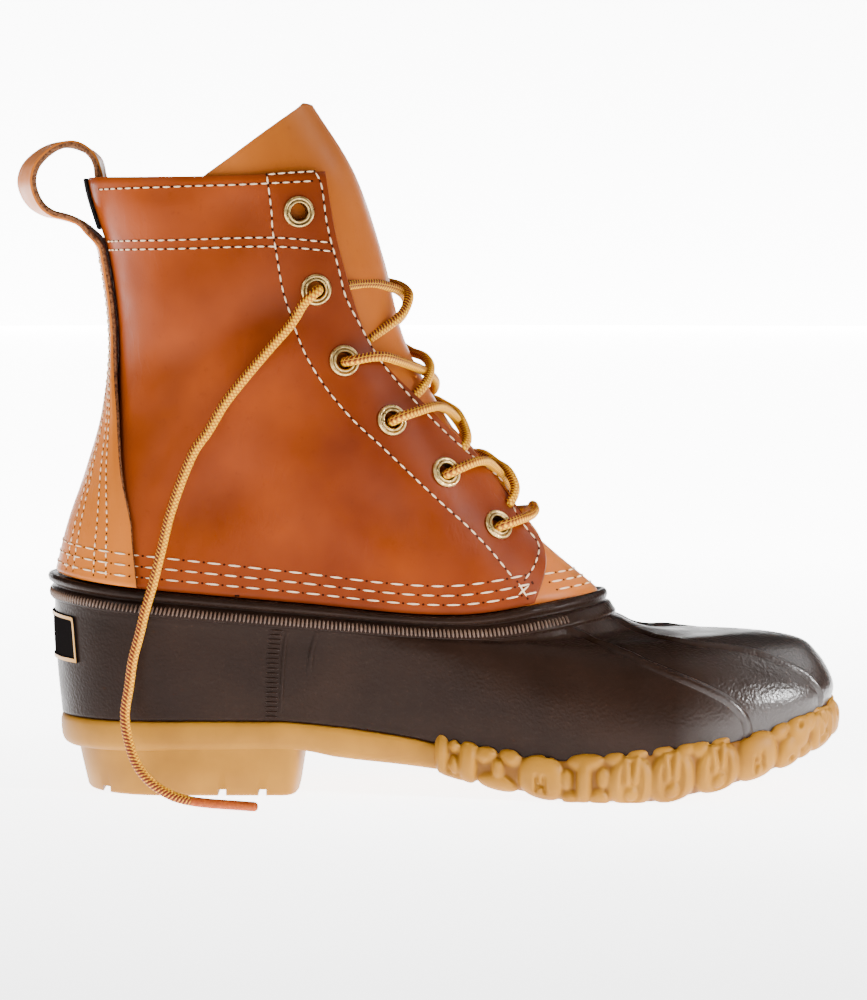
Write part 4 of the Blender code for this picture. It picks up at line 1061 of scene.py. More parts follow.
insole_felt, felt_tree, felt_shader = new_finish("felted_board", Roughness=0.92, Sheen_Weight=0.3)
felt_blots = noise(felt_tree, object_place(felt_tree), 0.004, 4)
felt_colour = mixed(felt_tree, felt_blots, colour(120, 96, 70), colour(160, 132, 98))
felt_tree.links.new(felt_colour, felt_shader.inputs["Base Color"])
felt_hair = noise(felt_tree, object_place(felt_tree), 0.0008, 3)
felt_tree.links.new(bumped(felt_tree, felt_hair, 0.0003, 0.6), felt_shader.inputs["Normal"])
insole_turns = even_turns(rubber_at, 0, INSOLE_STATIONS)
board = off_rubber(insole_turns, 0, -(RUBBER_WALL + GAP + 0.0004))
board[:, 2] = line_height(SOLE_TOP, board[:, 0]) + GAP
board_rows = [board + (0, 0, lift) for lift in (0, 0.0004, INSOLE_THICKNESS - 0.0006, INSOLE_THICKNESS)]
board_faces = capped_faces(len(board_rows), INSOLE_STATIONS)
insole = mesh_piece("insole_board", np.stack(board_rows), board_faces, insole_felt)
insole.data.set_sharp_from_angle(angle=math.radians(50))
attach(insole, "root")
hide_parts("insole")

# Leather quarters
# Two quarters of waxed full-grain leather, orange tan, meet under the strip at the back. They are
# cut in one thickness and stitched three times round to the rubber's rim.
QUARTER_LEVELS = (0.012, COLLAR)  # its lower and upper edge, in sections of the shaft
QUARTER_GRID = (139, 381)  # rows and columns of its mesh
EDGE_RADIUS = 0.0007
TROUGH_DEPTH = 0.0014  # depth at which the painted shade in the folds is darkest
Edges = namedtuple("Edges", "throat tongue strip")
EDGE_TABLE = (
    (0.610, 0.519, 0.120), (0.608, 0.525, 0.115), (0.558, 0.478, 0.104), (0.487, 0.403, 0.099),
    (0.406, 0.322, 0.0935), (0.372, 0.254, 0.0812), (0.3525, 0.200, 0.062), (0.3525, 0.326, 0.062),
)
EDGES = [Edges(*row) for row in EDGE_TABLE]
# Eyelets of one side, from the top: shares of LENGTH and of COLLAR_HEIGHT
EYELETS = (
    (0.320, 0.940), (0.340, 0.819), (0.374, 0.705), (0.433, 0.609), (0.500, 0.524), (0.564, 0.438),
)
# Soft troughs (-) and ridges (+) of the worn-in leather, in metres: middle x and z, length along
# the fold, width across it, lean from level in degrees, height
Fold = namedtuple("Fold", "x z length width lean height")
FOLDS = (
    Fold(0.000, 0.184, 0.056, 0.024, 18, 0.0018),
    Fold(0.027, 0.176, 0.060, 0.015, 30, -0.0020),
    Fold(0.020, 0.160, 0.060, 0.014, 34, 0.0013),
    Fold(-0.006, 0.160, 0.040, 0.012, 20, -0.0011),
    Fold(-0.008, 0.144, 0.050, 0.013, 58, -0.0013),
    Fold(0.014, 0.142, 0.070, 0.020, 52, 0.0017),
    Fold(0.008, 0.108, 0.070, 0.018, 32, -0.0016),
    Fold(0.042, 0.120, 0.070, 0.026, -34, 0.0016),
    Fold(0.074, 0.103, 0.046, 0.015, -50, -0.0012),
    Fold(0.058, 0.098, 0.040, 0.010, -40, 0.0006),
    Fold(0.018, 0.214, 0.036, 0.015, 82, -0.0011),
    Fold(-0.012, 0.214, 0.036, 0.018, 86, 0.0010),
    Fold(-0.026, 0.100, 0.040, 0.014, 80, 0.0010),
    Fold(-0.018, 0.190, 0.050, 0.010, 86, -0.0008),
)


def edge_place(name, v):
    """|t| of a leather edge at fractional sections v of the shaft."""
    places = [place_of(row, getattr(edge, name)) for row, edge in zip(SHAFT, EDGES)]
    return through(range(len(SHAFT)), places, v)


def shaft_level(height_share):
    """The shaft's fractional section at a share of the collar's height, above its first section."""
    return float(through([row.z_mid for row in SHAFT], range(len(SHAFT)), height_share))


def eyelet_places():
    """(node, centre, outward direction) of each eyelet, on the leather's outer face."""
    found = []
    for side, sign in (("near", -1), ("far", 1)):
        for number, (share, height) in enumerate(EYELETS, start=1):
            v = shaft_level(height)
            t = sign * float(surface_turn(SHAFT, share, v))
            found.append((f"eyelet_{side}_{number}", shaft_at(t, v), shaft_out(t, v)))
    return found


EYELET_PLACES = eyelet_places()


def leather_relief(places):
    """Height of the folds at places on the quarters. It fades out near eyelets and edges."""
    x, z = places[..., 0], places[..., 2]
    height = np.zeros(x.shape)
    for fold in FOLDS:
        lean = math.radians(fold.lean)
        ahead = (x - fold.x) * math.cos(lean) + (z - fold.z) * math.sin(lean)
        aside = (z - fold.z) * math.cos(lean) - (x - fold.x) * math.sin(lean)
        far_fold = 1 - 0.35 * (places[..., 1] > 0)
        bell = np.exp(-2.2 * (ahead / fold.length * 2) ** 2 - 2.2 * (aside / fold.width) ** 2)
        height += fold.height * far_fold * bell
    for _, centre, _ in EYELET_PLACES:
        distance = np.linalg.norm(places - centre, axis=-1)
        height *= 1 - np.exp(-((distance / 0.011) ** 4))
    height *= ease(0.226, 0.216, z) * ease(0.078, 0.092, z)
    return height


def quarter_at(t, v):
    """Outside of the quarters with their folds."""
    places = shaft_at(t, v)
    return places + leather_relief(places)[..., None] * shaft_out(t, v)


def border_of(rows, columns):
    """Indices round the border of a grid, against the turn of its outer faces."""
    bottom = np.arange(columns)
    right = np.arange(rows) * columns + columns - 1
    top = (rows - 1) * columns + np.arange(columns)[::-1]
    left = np.arange(rows)[::-1] * columns
    return np.concatenate([bottom[:-1], right[:-1], top[:-1], left[:-1]])


def grid_normals(points):
    up = np.gradient(points, axis=0)
    across = np.gradient(points, axis=1)
    normal = np.cross(up, across)
    return normal / np.linalg.norm(normal, axis=-1, keepdims=True)


def margin_of(points):
    """How far each point of a grid lies from the nearest side of the sheet."""
    down = np.cumsum(np.linalg.norm(np.diff(points, axis=0, prepend=points[:1]), axis=2), axis=0)
    across = np.cumsum(np.linalg.norm(np.diff(points, axis=1, prepend=points[:, :1]), axis=2), axis=1)
    return np.minimum.reduce([down, down[-1] - down, across, across[:, -1:] - across])


def cut_sheet(name, points, wall, finishes, attributes=None):
    """A closed sheet of this wall with a cut edge. Finishes: outer face, inner face, edge."""
    rows, columns = points.shape[:2]
    normals = grid_normals(points)
    short = EDGE_RADIUS - np.minimum(margin_of(points), EDGE_RADIUS)
    drop = EDGE_RADIUS - np.sqrt(EDGE_RADIUS**2 - short**2)
    outer = points - normals * drop[..., None]
    inner = points[::2, ::2] - normals[::2, ::2] * (wall - drop[::2, ::2])[..., None]
    faces = [tuple(f) for f in grid_faces(rows, columns)]
    outer_count = len(faces)
    half_rows, half_columns = inner.shape[:2]
    faces += [tuple(f) for f in grid_faces(half_rows, half_columns)[:, ::-1] + rows * columns]
    inner_count = len(faces)
    rim = border_of(rows, columns)
    hem = border_of(half_rows, half_columns) + rows * columns
    for k in range(len(hem)):
        a, b, c = rim[2 * k], rim[2 * k + 1], rim[(2 * k + 2) % len(rim)]
        faces.append((a, b, c, hem[(k + 1) % len(hem)], hem[k]))
    both = {}
    for key, values in (attributes or {}).items():
        both[key] = np.concatenate([np.ravel(values), np.ravel(values[::2, ::2])])
    everything = np.concatenate([outer.reshape(-1, 3), inner.reshape(-1, 3)])
    piece = mesh_piece(name, everything, faces, finishes[0], both)
    piece.data.materials.append(finishes[1])
    piece.data.materials.append(finishes[2])
    kinds = np.zeros(len(faces), np.int32)
    kinds[outer_count:inner_count] = 1
    kinds[inner_count:] = 2
    piece.data.polygons.foreach_set("material_index", kinds)
    piece.data.set_sharp_from_angle(angle=math.radians(45))
    return piece


def leather_finish(name, dark, mid, light):
    """Waxed grain leather: cloudy, with grain and creases. Painted light makes it lighter towards the heel,
    and painted shade darker in the troughs of the folds.
    """
    made, tree, shader = new_finish(name, Specular_IOR_Level=0.09)
    place = object_place(tree)
    along_boot = node(tree, "ShaderNodeSeparateXYZ", {0: place}).outputs["X"]
    # Painted light: the colour is lifted towards the heel and lowered towards the toe.
    painted_light_to_the_back = spread(tree, along_boot, along(0.16), along(0.36), 0.22, -0.06)
    clouds_and_painted_light = math_node(tree, "ADD", noise(tree, place, 0.045, 3, 0.55), painted_light_to_the_back)
    tan = mixed(tree, spread(tree, clouds_and_painted_light, 0.26, 0.82), mid, light)
    # Painted shade: the tan is darkened in the troughs of the folds.
    worn = mixed(tree, spread(tree, attribute(tree, "trough_shade"), 0.0, 1.0, 0.0, 0.3), tan, dark)
    flecks = spread(tree, noise(tree, place, 0.003, 4, 0.6), 0.62, 0.8, 0.0, 0.25)
    tree.links.new(mixed(tree, flecks, worn, dark), shader.inputs["Base Color"])
    grain = noise(tree, place, 0.0009, 3, 0.55)
    slant = {"Vector": place, "Rotation": (0, 0.7, 0), "Scale": (1, 1, 0.35)}
    wrinkle = node(tree, "ShaderNodeMapping", slant)
    creases = spread(tree, noise(tree, wrinkle.outputs[0], 0.0035, 3, 0.5), 0.45, 0.52)
    crumpled = math_node(tree, "MULTIPLY", creases, spread(tree, noise(tree, place, 0.03, 2), 0.5, 0.65))
    gloss = spread(tree, noise(tree, place, 0.010, 3), 0.3, 0.7, 0.34, 0.50)
    tree.links.new(gloss, shader.inputs["Roughness"])
    soft = bumped(tree, crumpled, 0.00012, 0.45)
    tree.links.new(bumped(tree, grain, 0.00010, 0.45, soft), shader.inputs["Normal"])
    return made


def raw_finish(name, dark, light, depth):
    """Fibrous cut or flesh side of the leather."""
    made, tree, shader = new_finish(name, Roughness=0.9, Specular_IOR_Level=0.1)
    place = object_place(tree)
    fibres = noise(tree, place, 0.0011, 4, 0.7)
    tree.links.new(mixed(tree, spread(tree, fibres, 0.35, 0.65), dark, light), shader.inputs["Base Color"])
    tree.links.new(bumped(tree, fibres, depth, 0.9), shader.inputs["Normal"])
    return made


tan_leather = leather_finish("tan_leather", colour(58, 18, 3), colour(88, 30, 3), colour(130, 54, 8))
flesh_side = raw_finish("flesh_side", colour(140, 88, 52), colour(178, 122, 80), 0.0003)
pale_edge = raw_finish("pale_cut_edge", colour(150, 84, 44), colour(205, 150, 108), 0.0003)

quarter_levels = np.linspace(*QUARTER_LEVELS, QUARTER_GRID[0])[:, None]
quarter_turns = np.linspace(-1, 1, QUARTER_GRID[1]) * edge_place("throat", quarter_levels)
# Painted shade, 0 to 1, deepest in the troughs of the folds.
trough_shade = np.clip(-leather_relief(shaft_at(quarter_turns, quarter_levels)) / TROUGH_DEPTH, 0, 1)
quarters = cut_sheet(
    "leather_quarters", quarter_at(quarter_turns, quarter_levels), LEATHER_WALL,
    (tan_leather, flesh_side, pale_edge), {"trough_shade": trough_shade},
)
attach(quarters, "root")
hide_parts("leather_shaft")

# Eyelets
# Each is a rolled ring of antique brass set through the quarter: an outer roll, a groove and a
# smaller bright roll round the hole. The leather is punched under it.
PUNCH_RADIUS = 0.00405
ROLL_STATIONS = 48
# Profile from the inside of the boot round the bore to the flange: radius and height
EYELET_PROFILE = (
    (0.00375, -0.0030), (0.00330, -0.0031), (0.00315, -0.0026), (0.00315, 0.0002), (0.00318, 0.0007),
    (0.00335, 0.00112), (0.00365, 0.00130), (0.00395, 0.00120), (0.00412, 0.00096), (0.00425, 0.00078),
    (0.00445, 0.00080), (0.00470, 0.00100), (0.00500, 0.00108), (0.00535, 0.00095), (0.00562, 0.00066),
    (0.00575, 0.00030), (0.00568, 0.00010), (0.00530, 0.00005), (0.00375, 0.00005),
)


def brass_finish():
    """Antique brass: worn bright on its rolls, brown in the groove."""
    made, tree, shader = new_finish("antique_brass", Metallic=1.0)
    place = object_place(tree)
    tarnish = spread(tree, noise(tree, place, 0.0014, 3), 0.35, 0.7)
    bright = mixed(tree, tarnish, colour(206, 178, 118), colour(158, 124, 68))
    darkened = mixed(tree, attribute(tree, "groove"), bright, colour(66, 44, 20))
    tree.links.new(darkened, shader.inputs["Base Color"])
    tree.links.new(spread(tree, tarnish, 0, 1, 0.24, 0.42), shader.inputs["Roughness"])
    return made


def facing_axes(direction):
    """Two level-and-upright axes across a direction."""
    direction = np.asarray(direction, float)
    side = np.cross((0, 0, 1), direction)
    side /= np.linalg.norm(side)
    return side, np.cross(direction, side)


brass = brass_finish()
punches = bmesh.new()
profile = np.array(EYELET_PROFILE)
ring_turn = np.linspace(0, 2 * np.pi, ROLL_STATIONS, endpoint=False)
in_groove = np.exp(-(((profile[:, 0] - 0.00432) / 0.00022) ** 2)) * (profile[:, 1] > 0.0005)
in_groove = np.maximum(in_groove, 0.8 * (profile[:, 0] < 0.00320))
for eyelet_node, centre, direction in EYELET_PLACES:
    side, upright = facing_axes(direction)
    circle = np.cos(ring_turn)[None, :, None] * side + np.sin(ring_turn)[None, :, None] * upright
    points = centre + profile[:, 0, None, None] * circle + profile[:, 1, None, None] * direction
    faces = grid_faces(len(profile), ROLL_STATIONS, close_rows=True, close_columns=True)[:, ::-1]
    groove = np.repeat(in_groove, ROLL_STATIONS)
    rolled = mesh_piece("rolled_" + eyelet_node, points, faces, brass, {"groove": groove})
    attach(rolled, "root")
    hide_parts(eyelet_node)
    turned = Vector(direction).to_track_quat("Z", "Y").to_matrix().to_4x4()
    bmesh.ops.create_cone(
        punches, cap_ends=True, segments=32, radius1=PUNCH_RADIUS, radius2=PUNCH_RADIUS,
        depth=0.016, matrix=Matrix.Translation(Vector(centre)) @ turned,
    )
cut_away(quarters, punches)

# Tongue and apron
# One softer piece of the same leather inside the quarters: an apron over the instep, stitched down
# with them, that rises into a tall tongue with a raw slanting edge on each side of its tip.
TONGUE_STATIONS = 201
TONGUE_ROWS = (121, 37)  # up to the collar and above it
TONGUE_EDGE = (0.200, 0.334)  # share of the length at the collar and at the tip

tongue_leather = leather_finish(
    "tongue_leather", colour(104, 46, 12), colour(150, 76, 20), colour(172, 94, 32)
)
tongue_levels = np.concatenate([
    np.linspace(*QUARTER_LEVELS, TONGUE_ROWS[0]), np.linspace(COLLAR, TONGUE_TIP, TONGUE_ROWS[1])[1:],
])
tongue_edge = edge_place("tongue", tongue_levels)
straight = np.interp(tongue_levels, (COLLAR, TONGUE_TIP), TONGUE_EDGE)
for row in np.flatnonzero(tongue_levels > COLLAR):
    tongue_edge[row] = surface_turn(SHAFT, straight[row], tongue_levels[row])
tongue_turns = 1 + np.linspace(-1, 1, TONGUE_STATIONS) * (1 - tongue_edge)[:, None]
tongue_points = off_shaft(tongue_turns, tongue_levels[:, None], -(LEATHER_WALL + TONGUE_ROOM))
tongue = cut_sheet(
    "tongue_and_apron", tongue_points, TONGUE_WALL, (tongue_leather, flesh_side, pale_edge),
    {"trough_shade": np.zeros(tongue_turns.shape)},
)
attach(tongue, "root")
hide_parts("tongue")

# Strip up the back and pull loop
# A thicker strip over the back seam, with raw dark edges. Above the leather it swings out, turns
# over as an open loop and is sewn down inside the collar.
LOOP_PATH = (
    (0.0000, -0.0208), (-0.0038, -0.0176), (-0.0090, -0.0157), (-0.0148, -0.0143),
    (-0.0194, -0.0114), (-0.0225, -0.0068), (-0.0238, -0.0009), (-0.0225, 0.0042),
    (-0.0179, 0.0096), (-0.0118, 0.0130), (-0.0056, 0.0137), (-0.0002, 0.0118),
    (0.0044, 0.0077),
)
LOOP_WIDTH = 0.022
STRIP_TOP = 5.1
LOOP_NARROWING = 0.88  # of its width where it is tucked in
LOOP_TUCK = 0.45  # how far down inside the collar it reaches, in sections
LOOP_TWIST = 0.0036  # how far the loop's two edges lie apart in the side view

dark_edge = raw_finish("dark_cut_edge", colour(52, 30, 18), colour(140, 92, 60), 0.0006)
strap_leather = leather_finish("strap_leather", colour(96, 40, 10), colour(148, 76, 16), colour(176, 96, 26))
strip_shares = np.linspace(-1, 1, 41)
strip_levels = np.linspace(0.03, STRIP_TOP, 121)[:, None]
strip = off_shaft(strip_shares * edge_place("strip", strip_levels), strip_levels, STRIP_ROOM + STRAP_WALL)
collar_back = shaft_at(0, COLLAR)
loop_half_turn = math.asin(LOOP_WIDTH / SHAFT_WIDTH) / math.pi * LOOP_NARROWING
loop_rows = []
for part, (along_x, up_z) in zip(np.linspace(0, 1, len(LOOP_PATH)), LOOP_PATH):
    row = np.zeros((len(strip_shares), 3))
    row[:, 0] = collar_back[0] + along_x - strip_shares * LOOP_TWIST * math.sin(math.pi * part)
    row[:, 1] = strip_shares * LOOP_WIDTH / 2
    row[:, 2] = collar_back[2] + up_z
    loop_rows.append(row)
tuck_levels = np.array((COLLAR, COLLAR - LOOP_TUCK / 2, COLLAR - LOOP_TUCK))[:, None]
tuck_depth = LEATHER_WALL + GAP + FACET + STRAP_WALL
tucked = off_shaft(strip_shares * loop_half_turn, tuck_levels, -tuck_depth)
bent = np.concatenate([strip[-3:], np.stack(loop_rows), tucked])
bent_run = run_along(bent[:, len(strip_shares) // 2])
bent_slopes = np.gradient(bent, bent_run, axis=0)
loop_stops = np.linspace(bent_run[2], bent_run[-1], 129)[1:]
knot = np.clip(np.searchsorted(bent_run, loop_stops) - 1, 0, len(bent) - 2)
gap_run = (bent_run[knot + 1] - bent_run[knot])[:, None, None]
u = ((loop_stops - bent_run[knot]) / gap_run[:, 0, 0])[:, None, None]
loop_points = bent[knot] * (1 + 2 * u) * (1 - u) ** 2 + bent[knot + 1] * u**2 * (3 - 2 * u)
loop_points += gap_run * (bent_slopes[knot] * u * (1 - u) ** 2 + bent_slopes[knot + 1] * u**2 * (u - 1))
strap_points = np.concatenate([strip, loop_points])
strap = cut_sheet(
    "back_strip_and_loop", strap_points, STRAP_WALL, (strap_leather, dark_edge, dark_edge),
    {"trough_shade": np.zeros(strap_points.shape[:2])},
)
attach(strap, "root")
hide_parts("backstay_loop")

# Tape over the back seam
# Woven black binding over the top of the seam, above where the strip leaves the leather.
TAPE_FOOT = 5.34
TAPE_REACH = 0.06
BINDING_WALL = 0.0012

black_tape, tape_tree, tape_shader = new_finish(
    "black_tape", Base_Color=colour(18, 17, 17), Roughness=0.75, Specular_IOR_Level=0.1
)
weave = {"Vector": object_place(tape_tree), "Scale": 700.0, "Distortion": 1.0}
tape_threads = node(tape_tree, "ShaderNodeTexWave", weave, bands_direction="Z")
tape_tree.links.new(bumped(tape_tree, tape_threads.outputs[1], 0.0001, 0.6), tape_shader.inputs["Normal"])
tape_levels = np.linspace(TAPE_FOOT, COLLAR, 61)[:, None]
tape_turns = np.linspace(-TAPE_REACH, TAPE_REACH, 61)[None, :]
tape_points = off_shaft(tape_turns, tape_levels, GAP + BINDING_WALL)
tape = cut_sheet("seam_tape", tape_points, BINDING_WALL, (black_tape, black_tape, black_tape))
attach(tape, "root")
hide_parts("back_binding")

# Heel badge
# A small moulded plate let into the back of the rubber: black, bare, inside a gilt frame.
BADGE_REACH = 0.122
BADGE_LEVELS = (1.85, 4.9)
BADGE_WALL = 0.0014
BADGE_DEPTH = 0.0009
FRAME_WIDTH = 0.0011
FRAME_INSET = 0.0004  # from the plate's edge to its frame
FRAME_RISE = 0.00045

badge_black = new_finish(
    "badge_black", Base_Color=colour(16, 14, 14), Roughness=0.5, Specular_IOR_Level=0.0
)[0]
gilt = new_finish("gilt_frame", Base_Color=colour(150, 106, 36), Roughness=0.4, Metallic=0.6)[0]
badge_turns = np.linspace(-BADGE_REACH, BADGE_REACH, 121)[None, :]
badge_levels = np.linspace(*BADGE_LEVELS, 61)[:, None]
margin = margin_of(rubber_at(badge_turns, badge_levels))
raised = FRAME_RISE * ((margin > FRAME_INSET) & (margin < FRAME_INSET + FRAME_WIDTH + FRAME_INSET))
badge_points = off_rubber(badge_turns, badge_levels, BADGE_WALL - BADGE_DEPTH + raised)
badge = cut_sheet("bare_badge", badge_points, BADGE_WALL, (badge_black, badge_black, badge_black))
framed = np.zeros(len(badge.data.polygons), np.int32)
badge.data.materials.append(gilt)
badge.data.polygons.foreach_get("material_index", framed)
face_margin = (margin[:-1, :-1] + margin[1:, 1:]) / 2
in_frame = ((face_margin > 0.0005) & (face_margin < 0.0006 + FRAME_WIDTH)).ravel()
framed[: in_frame.size][in_frame] = 3
badge.data.polygons.foreach_set("material_index", framed)
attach(badge, "root")
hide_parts("heel_badge")

# Stitches
# Waxed cream thread. Three long-stitched rows hold the leather to the rubber's rim, shorter ones
# run round the eyelet facings, under the collar and along the strip, each between needle holes.
THREAD_WIDTH = 0.00068
THREAD_LIFT = 0.00012
BOTTOM_ROWS = (0.0045, 0.0084, 0.0124)  # height of each row above the leather's bottom edge
BOTTOM_PITCH = 0.0073
BOTTOM_STITCH = 0.0050
BOTTOM_END = 0.003  # how far short of the throat the rows stop
SHORT_PITCH = 0.0040
SHORT_STITCH = 0.0029
TACK_PITCH = 0.0070
TACK_STITCH = 0.0062
PIN_PITCH = 0.0008
STRIP_PITCH = 0.0032
STRIP_STITCH = 0.0018
STRIP_INSETS = (0.40, 0.50, 0.71, 0.81)  # rows on each half of the strip, in shares of its half width
# Rows on one quarter as world x and z in metres
FACING_BACK = (
    (0.0277, 0.2275), (0.0295, 0.2150), (0.0302, 0.2050), (0.0328, 0.1884), (0.0368, 0.1750),
    (0.0408, 0.1637), (0.0480, 0.1514), (0.0583, 0.1389), (0.0688, 0.1290), (0.0829, 0.1155),
    (0.0923, 0.1068), (0.1024, 0.0972), (0.1103, 0.0884), (0.1156, 0.0806),
)
FACING_FRONT = (
    (0.0447, 0.2290), (0.0470, 0.2250), (0.0493, 0.2105), (0.0511, 0.2020), (0.0550, 0.1868),
    (0.0622, 0.1710), (0.0690, 0.1590), (0.0848, 0.1408), (0.1010, 0.1245), (0.1118, 0.1128),
    (0.1180, 0.1045), (0.1215, 0.0985), (0.1235, 0.0930), (0.1225, 0.0860), (0.1195, 0.0795),
)
FACING_TOP = ((0.0277, 0.2275), (0.0360, 0.2282), (0.0447, 0.2290))
COLLAR_ROW = ((-0.0345, 0.2222), (-0.0100, 0.2230), (0.0150, 0.2238), (0.0440, 0.2252))
CROSSED_TACK = (((0.1172, 0.0790), (0.1215, 0.0728)), ((0.1168, 0.0732), (0.1218, 0.0786)))
PIN_HOLE = ((0.0160, 0.0747), (0.0168, 0.0747))
BAND_ROWS = (
    ((-0.0315, 0.2032), (-0.0050, 0.2040), (0.0270, 0.2048), (0.0500, 0.2030)),
    ((-0.0315, 0.2000), (-0.0050, 0.2008), (0.0270, 0.2016), (0.0510, 0.1998)),
)


def thread_finish():
    made, tree, shader = new_finish("cream_thread", Roughness=0.6, Specular_IOR_Level=0.2)
    tint = mixed(tree, noise(tree, object_place(tree), 0.006), colour(206, 172, 132), colour(232, 206, 172))
    tree.links.new(tint, shader.inputs["Base Color"])
    return made


def quarter_route(points, sign, spacing):
    """Stations on a quarter along a route given by world x and z."""
    turns, levels = [], []
    tried = np.linspace(0.02, COLLAR, 400)
    for x, z in points:
        share = (x + HEEL_CENTRE) / LENGTH
        places = np.array([place_of(row, share) for row in SHAFT])
        at = through(range(len(SHAFT)), places, tried)
        heights = shaft_at(at, tried)[:, 2]
        level = float(np.interp(z, heights, tried))
        turns.append(sign * float(np.interp(level, tried, at)))
        levels.append(level)
    return stations(shaft_at, *smooth_columns(list(zip(turns, levels)), 40), spacing, 2)


def level_above_edge(t, height):
    """Section v at which the quarter is this far above its bottom edge, at each t."""
    tried = np.linspace(0, 2.2, 90)
    line = shaft_at(t[None, :], tried[:, None])
    run = np.cumsum(np.linalg.norm(np.diff(line, axis=0, prepend=line[:1]), axis=2), axis=0)
    return np.array([np.interp(height, run[:, k], tried) for k in range(len(t))])


class Seam:
    """Collects stitches and needle holes, then makes them as two meshes."""

    def __init__(self):
        self.stitches, self.holes = [], []

    def row(self, surface, turns, levels, length):
        """Places alternate along a route: holes at even stops, stitches at odd ones."""
        places = surface(turns, levels)
        heading = np.gradient(places, axis=0)
        out = shaft_out(turns, levels)
        wander = 1 + 0.06 * np.sin(17.0 * np.arange(len(places)))
        if length:
            for k in range(1, len(places), 2):
                raised = places[k] + out[k] * THREAD_LIFT
                self.stitches.append((raised, heading[k], out[k], length * wander[k]))
        for k in range(0, len(places), 2):
            self.holes.append((places[k], heading[k], out[k]))

    def make(self, name, thread, shade, hole=0.0010):
        groups = {}
        for place, heading, out, length in self.stitches:
            groups.setdefault(round(float(length) * 5000) / 5000, []).append((place, heading, out))
        pieces = []
        for number, (length, group) in enumerate(groups.items()):
            places, headings, outs = (np.array(column) for column in zip(*group))
            pieces.append(laid_pieces(
                f"{name}_{number}", places, headings, outs, (length, THREAD_WIDTH, 0.00060), thread
            ))
        # The holes are dark pieces of painted shade.
        places, headings, outs = (np.array(column) for column in zip(*self.holes))
        hole_size = (hole, 0.85 * hole, 0.00030)
        pieces.append(laid_pieces(f"{name}_holes", places, headings, outs, hole_size, shade))
        made = merged(name, pieces)
        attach(made, "root")
        return made


def merged(name, pieces):
    """One object from several meshes that keep their materials."""
    finishes = []
    shape = bmesh.new()
    for piece in pieces:
        finish = piece.data.materials[0]
        if finish not in finishes:
            finishes.append(finish)
        start = len(shape.faces)
        shape.from_mesh(piece.data)
        shape.faces.ensure_lookup_table()
        for face in shape.faces[start:]:
            face.material_index = finishes.index(finish)
            face.smooth = True
        bpy.data.objects.remove(piece)
    mesh = bpy.data.meshes.new(name)
    shape.to_mesh(mesh)
    shape.free()
    for finish in finishes:
        mesh.materials.append(finish)
    return put_in_scene(name, mesh)


def on_apron(t, v):
    return off_shaft(t, v, -(LEATHER_WALL + TONGUE_ROOM))


def on_strip(t, v):
    return off_shaft(t, v, STRIP_ROOM + STRAP_WALL)


thread = thread_finish()
# Painted shade: the needle holes are small dark pieces laid on the leather, not cut through it.
needle_shade = new_finish(
    "needle_hole_shade", Base_Color=colour(34, 12, 4), Roughness=0.9, Specular_IOR_Level=0.05
)[0]
seams = Seam()
apron_seams = Seam()
for height in BOTTOM_ROWS:
    for sign in (-1, 1):
        ring_t = np.linspace(edge_place("strip", 0.3) * 0.9, edge_place("throat", 0.2), 400)
        ring_v = level_above_edge(ring_t, height)
        turns, levels = stations(shaft_at, sign * ring_t, ring_v, BOTTOM_PITCH, 2, BOTTOM_END)
        inside = np.abs(turns) < edge_place("throat", levels) - 0.004
        seams.row(quarter_at, turns[inside], levels[inside], BOTTOM_STITCH)
    apron_edge = edge_place("throat", 0.3) + 0.012
    apron_t = np.linspace(apron_edge, 2 - apron_edge, 300)
    apron_row = stations(on_apron, apron_t, level_above_edge(apron_t, height), BOTTOM_PITCH, 2)
    apron_seams.row(on_apron, *apron_row, BOTTOM_STITCH)
for sign in (-1, 1):
    for route in (FACING_BACK, FACING_FRONT, FACING_TOP, COLLAR_ROW, *BAND_ROWS):
        seams.row(quarter_at, *quarter_route(route, sign, SHORT_PITCH), SHORT_STITCH)
    for route in CROSSED_TACK:
        seams.row(quarter_at, *quarter_route(route, sign, TACK_PITCH), TACK_STITCH)
    seams.row(quarter_at, *quarter_route(PIN_HOLE, sign, PIN_PITCH), 0)
strip_seams = Seam()
for height in BOTTOM_ROWS:
    strip_t = np.linspace(-0.97, 0.97, 200) * edge_place("strip", 0.3)
    strip_row = stations(on_strip, strip_t, level_above_edge(strip_t, height), BOTTOM_PITCH, 2)
    strip_seams.row(on_strip, *strip_row, BOTTOM_STITCH)
for inset in STRIP_INSETS:
    for sign in (-1, 1):
        strip_v = np.linspace(0.15, STRIP_TOP - 0.1, 300)
        strip_t = sign * inset * edge_place("strip", strip_v)
        strip_row = stations(on_strip, strip_t, strip_v, STRIP_PITCH, 2)
        strip_seams.row(on_strip, *strip_row, STRIP_STITCH)
seams.make("quarter_stitches", thread, needle_shade)
apron_seams.make("apron_stitches", thread, needle_shade)
strip_seams.make("strip_stitches", thread, needle_shade, 0.0008)

# Lacing
# The same braid, in loose crossings: from the outside of an eyelet over the tongue, under the edge
# of the other quarter, and out through that side's next eyelet below. A bar joins the lowest two.

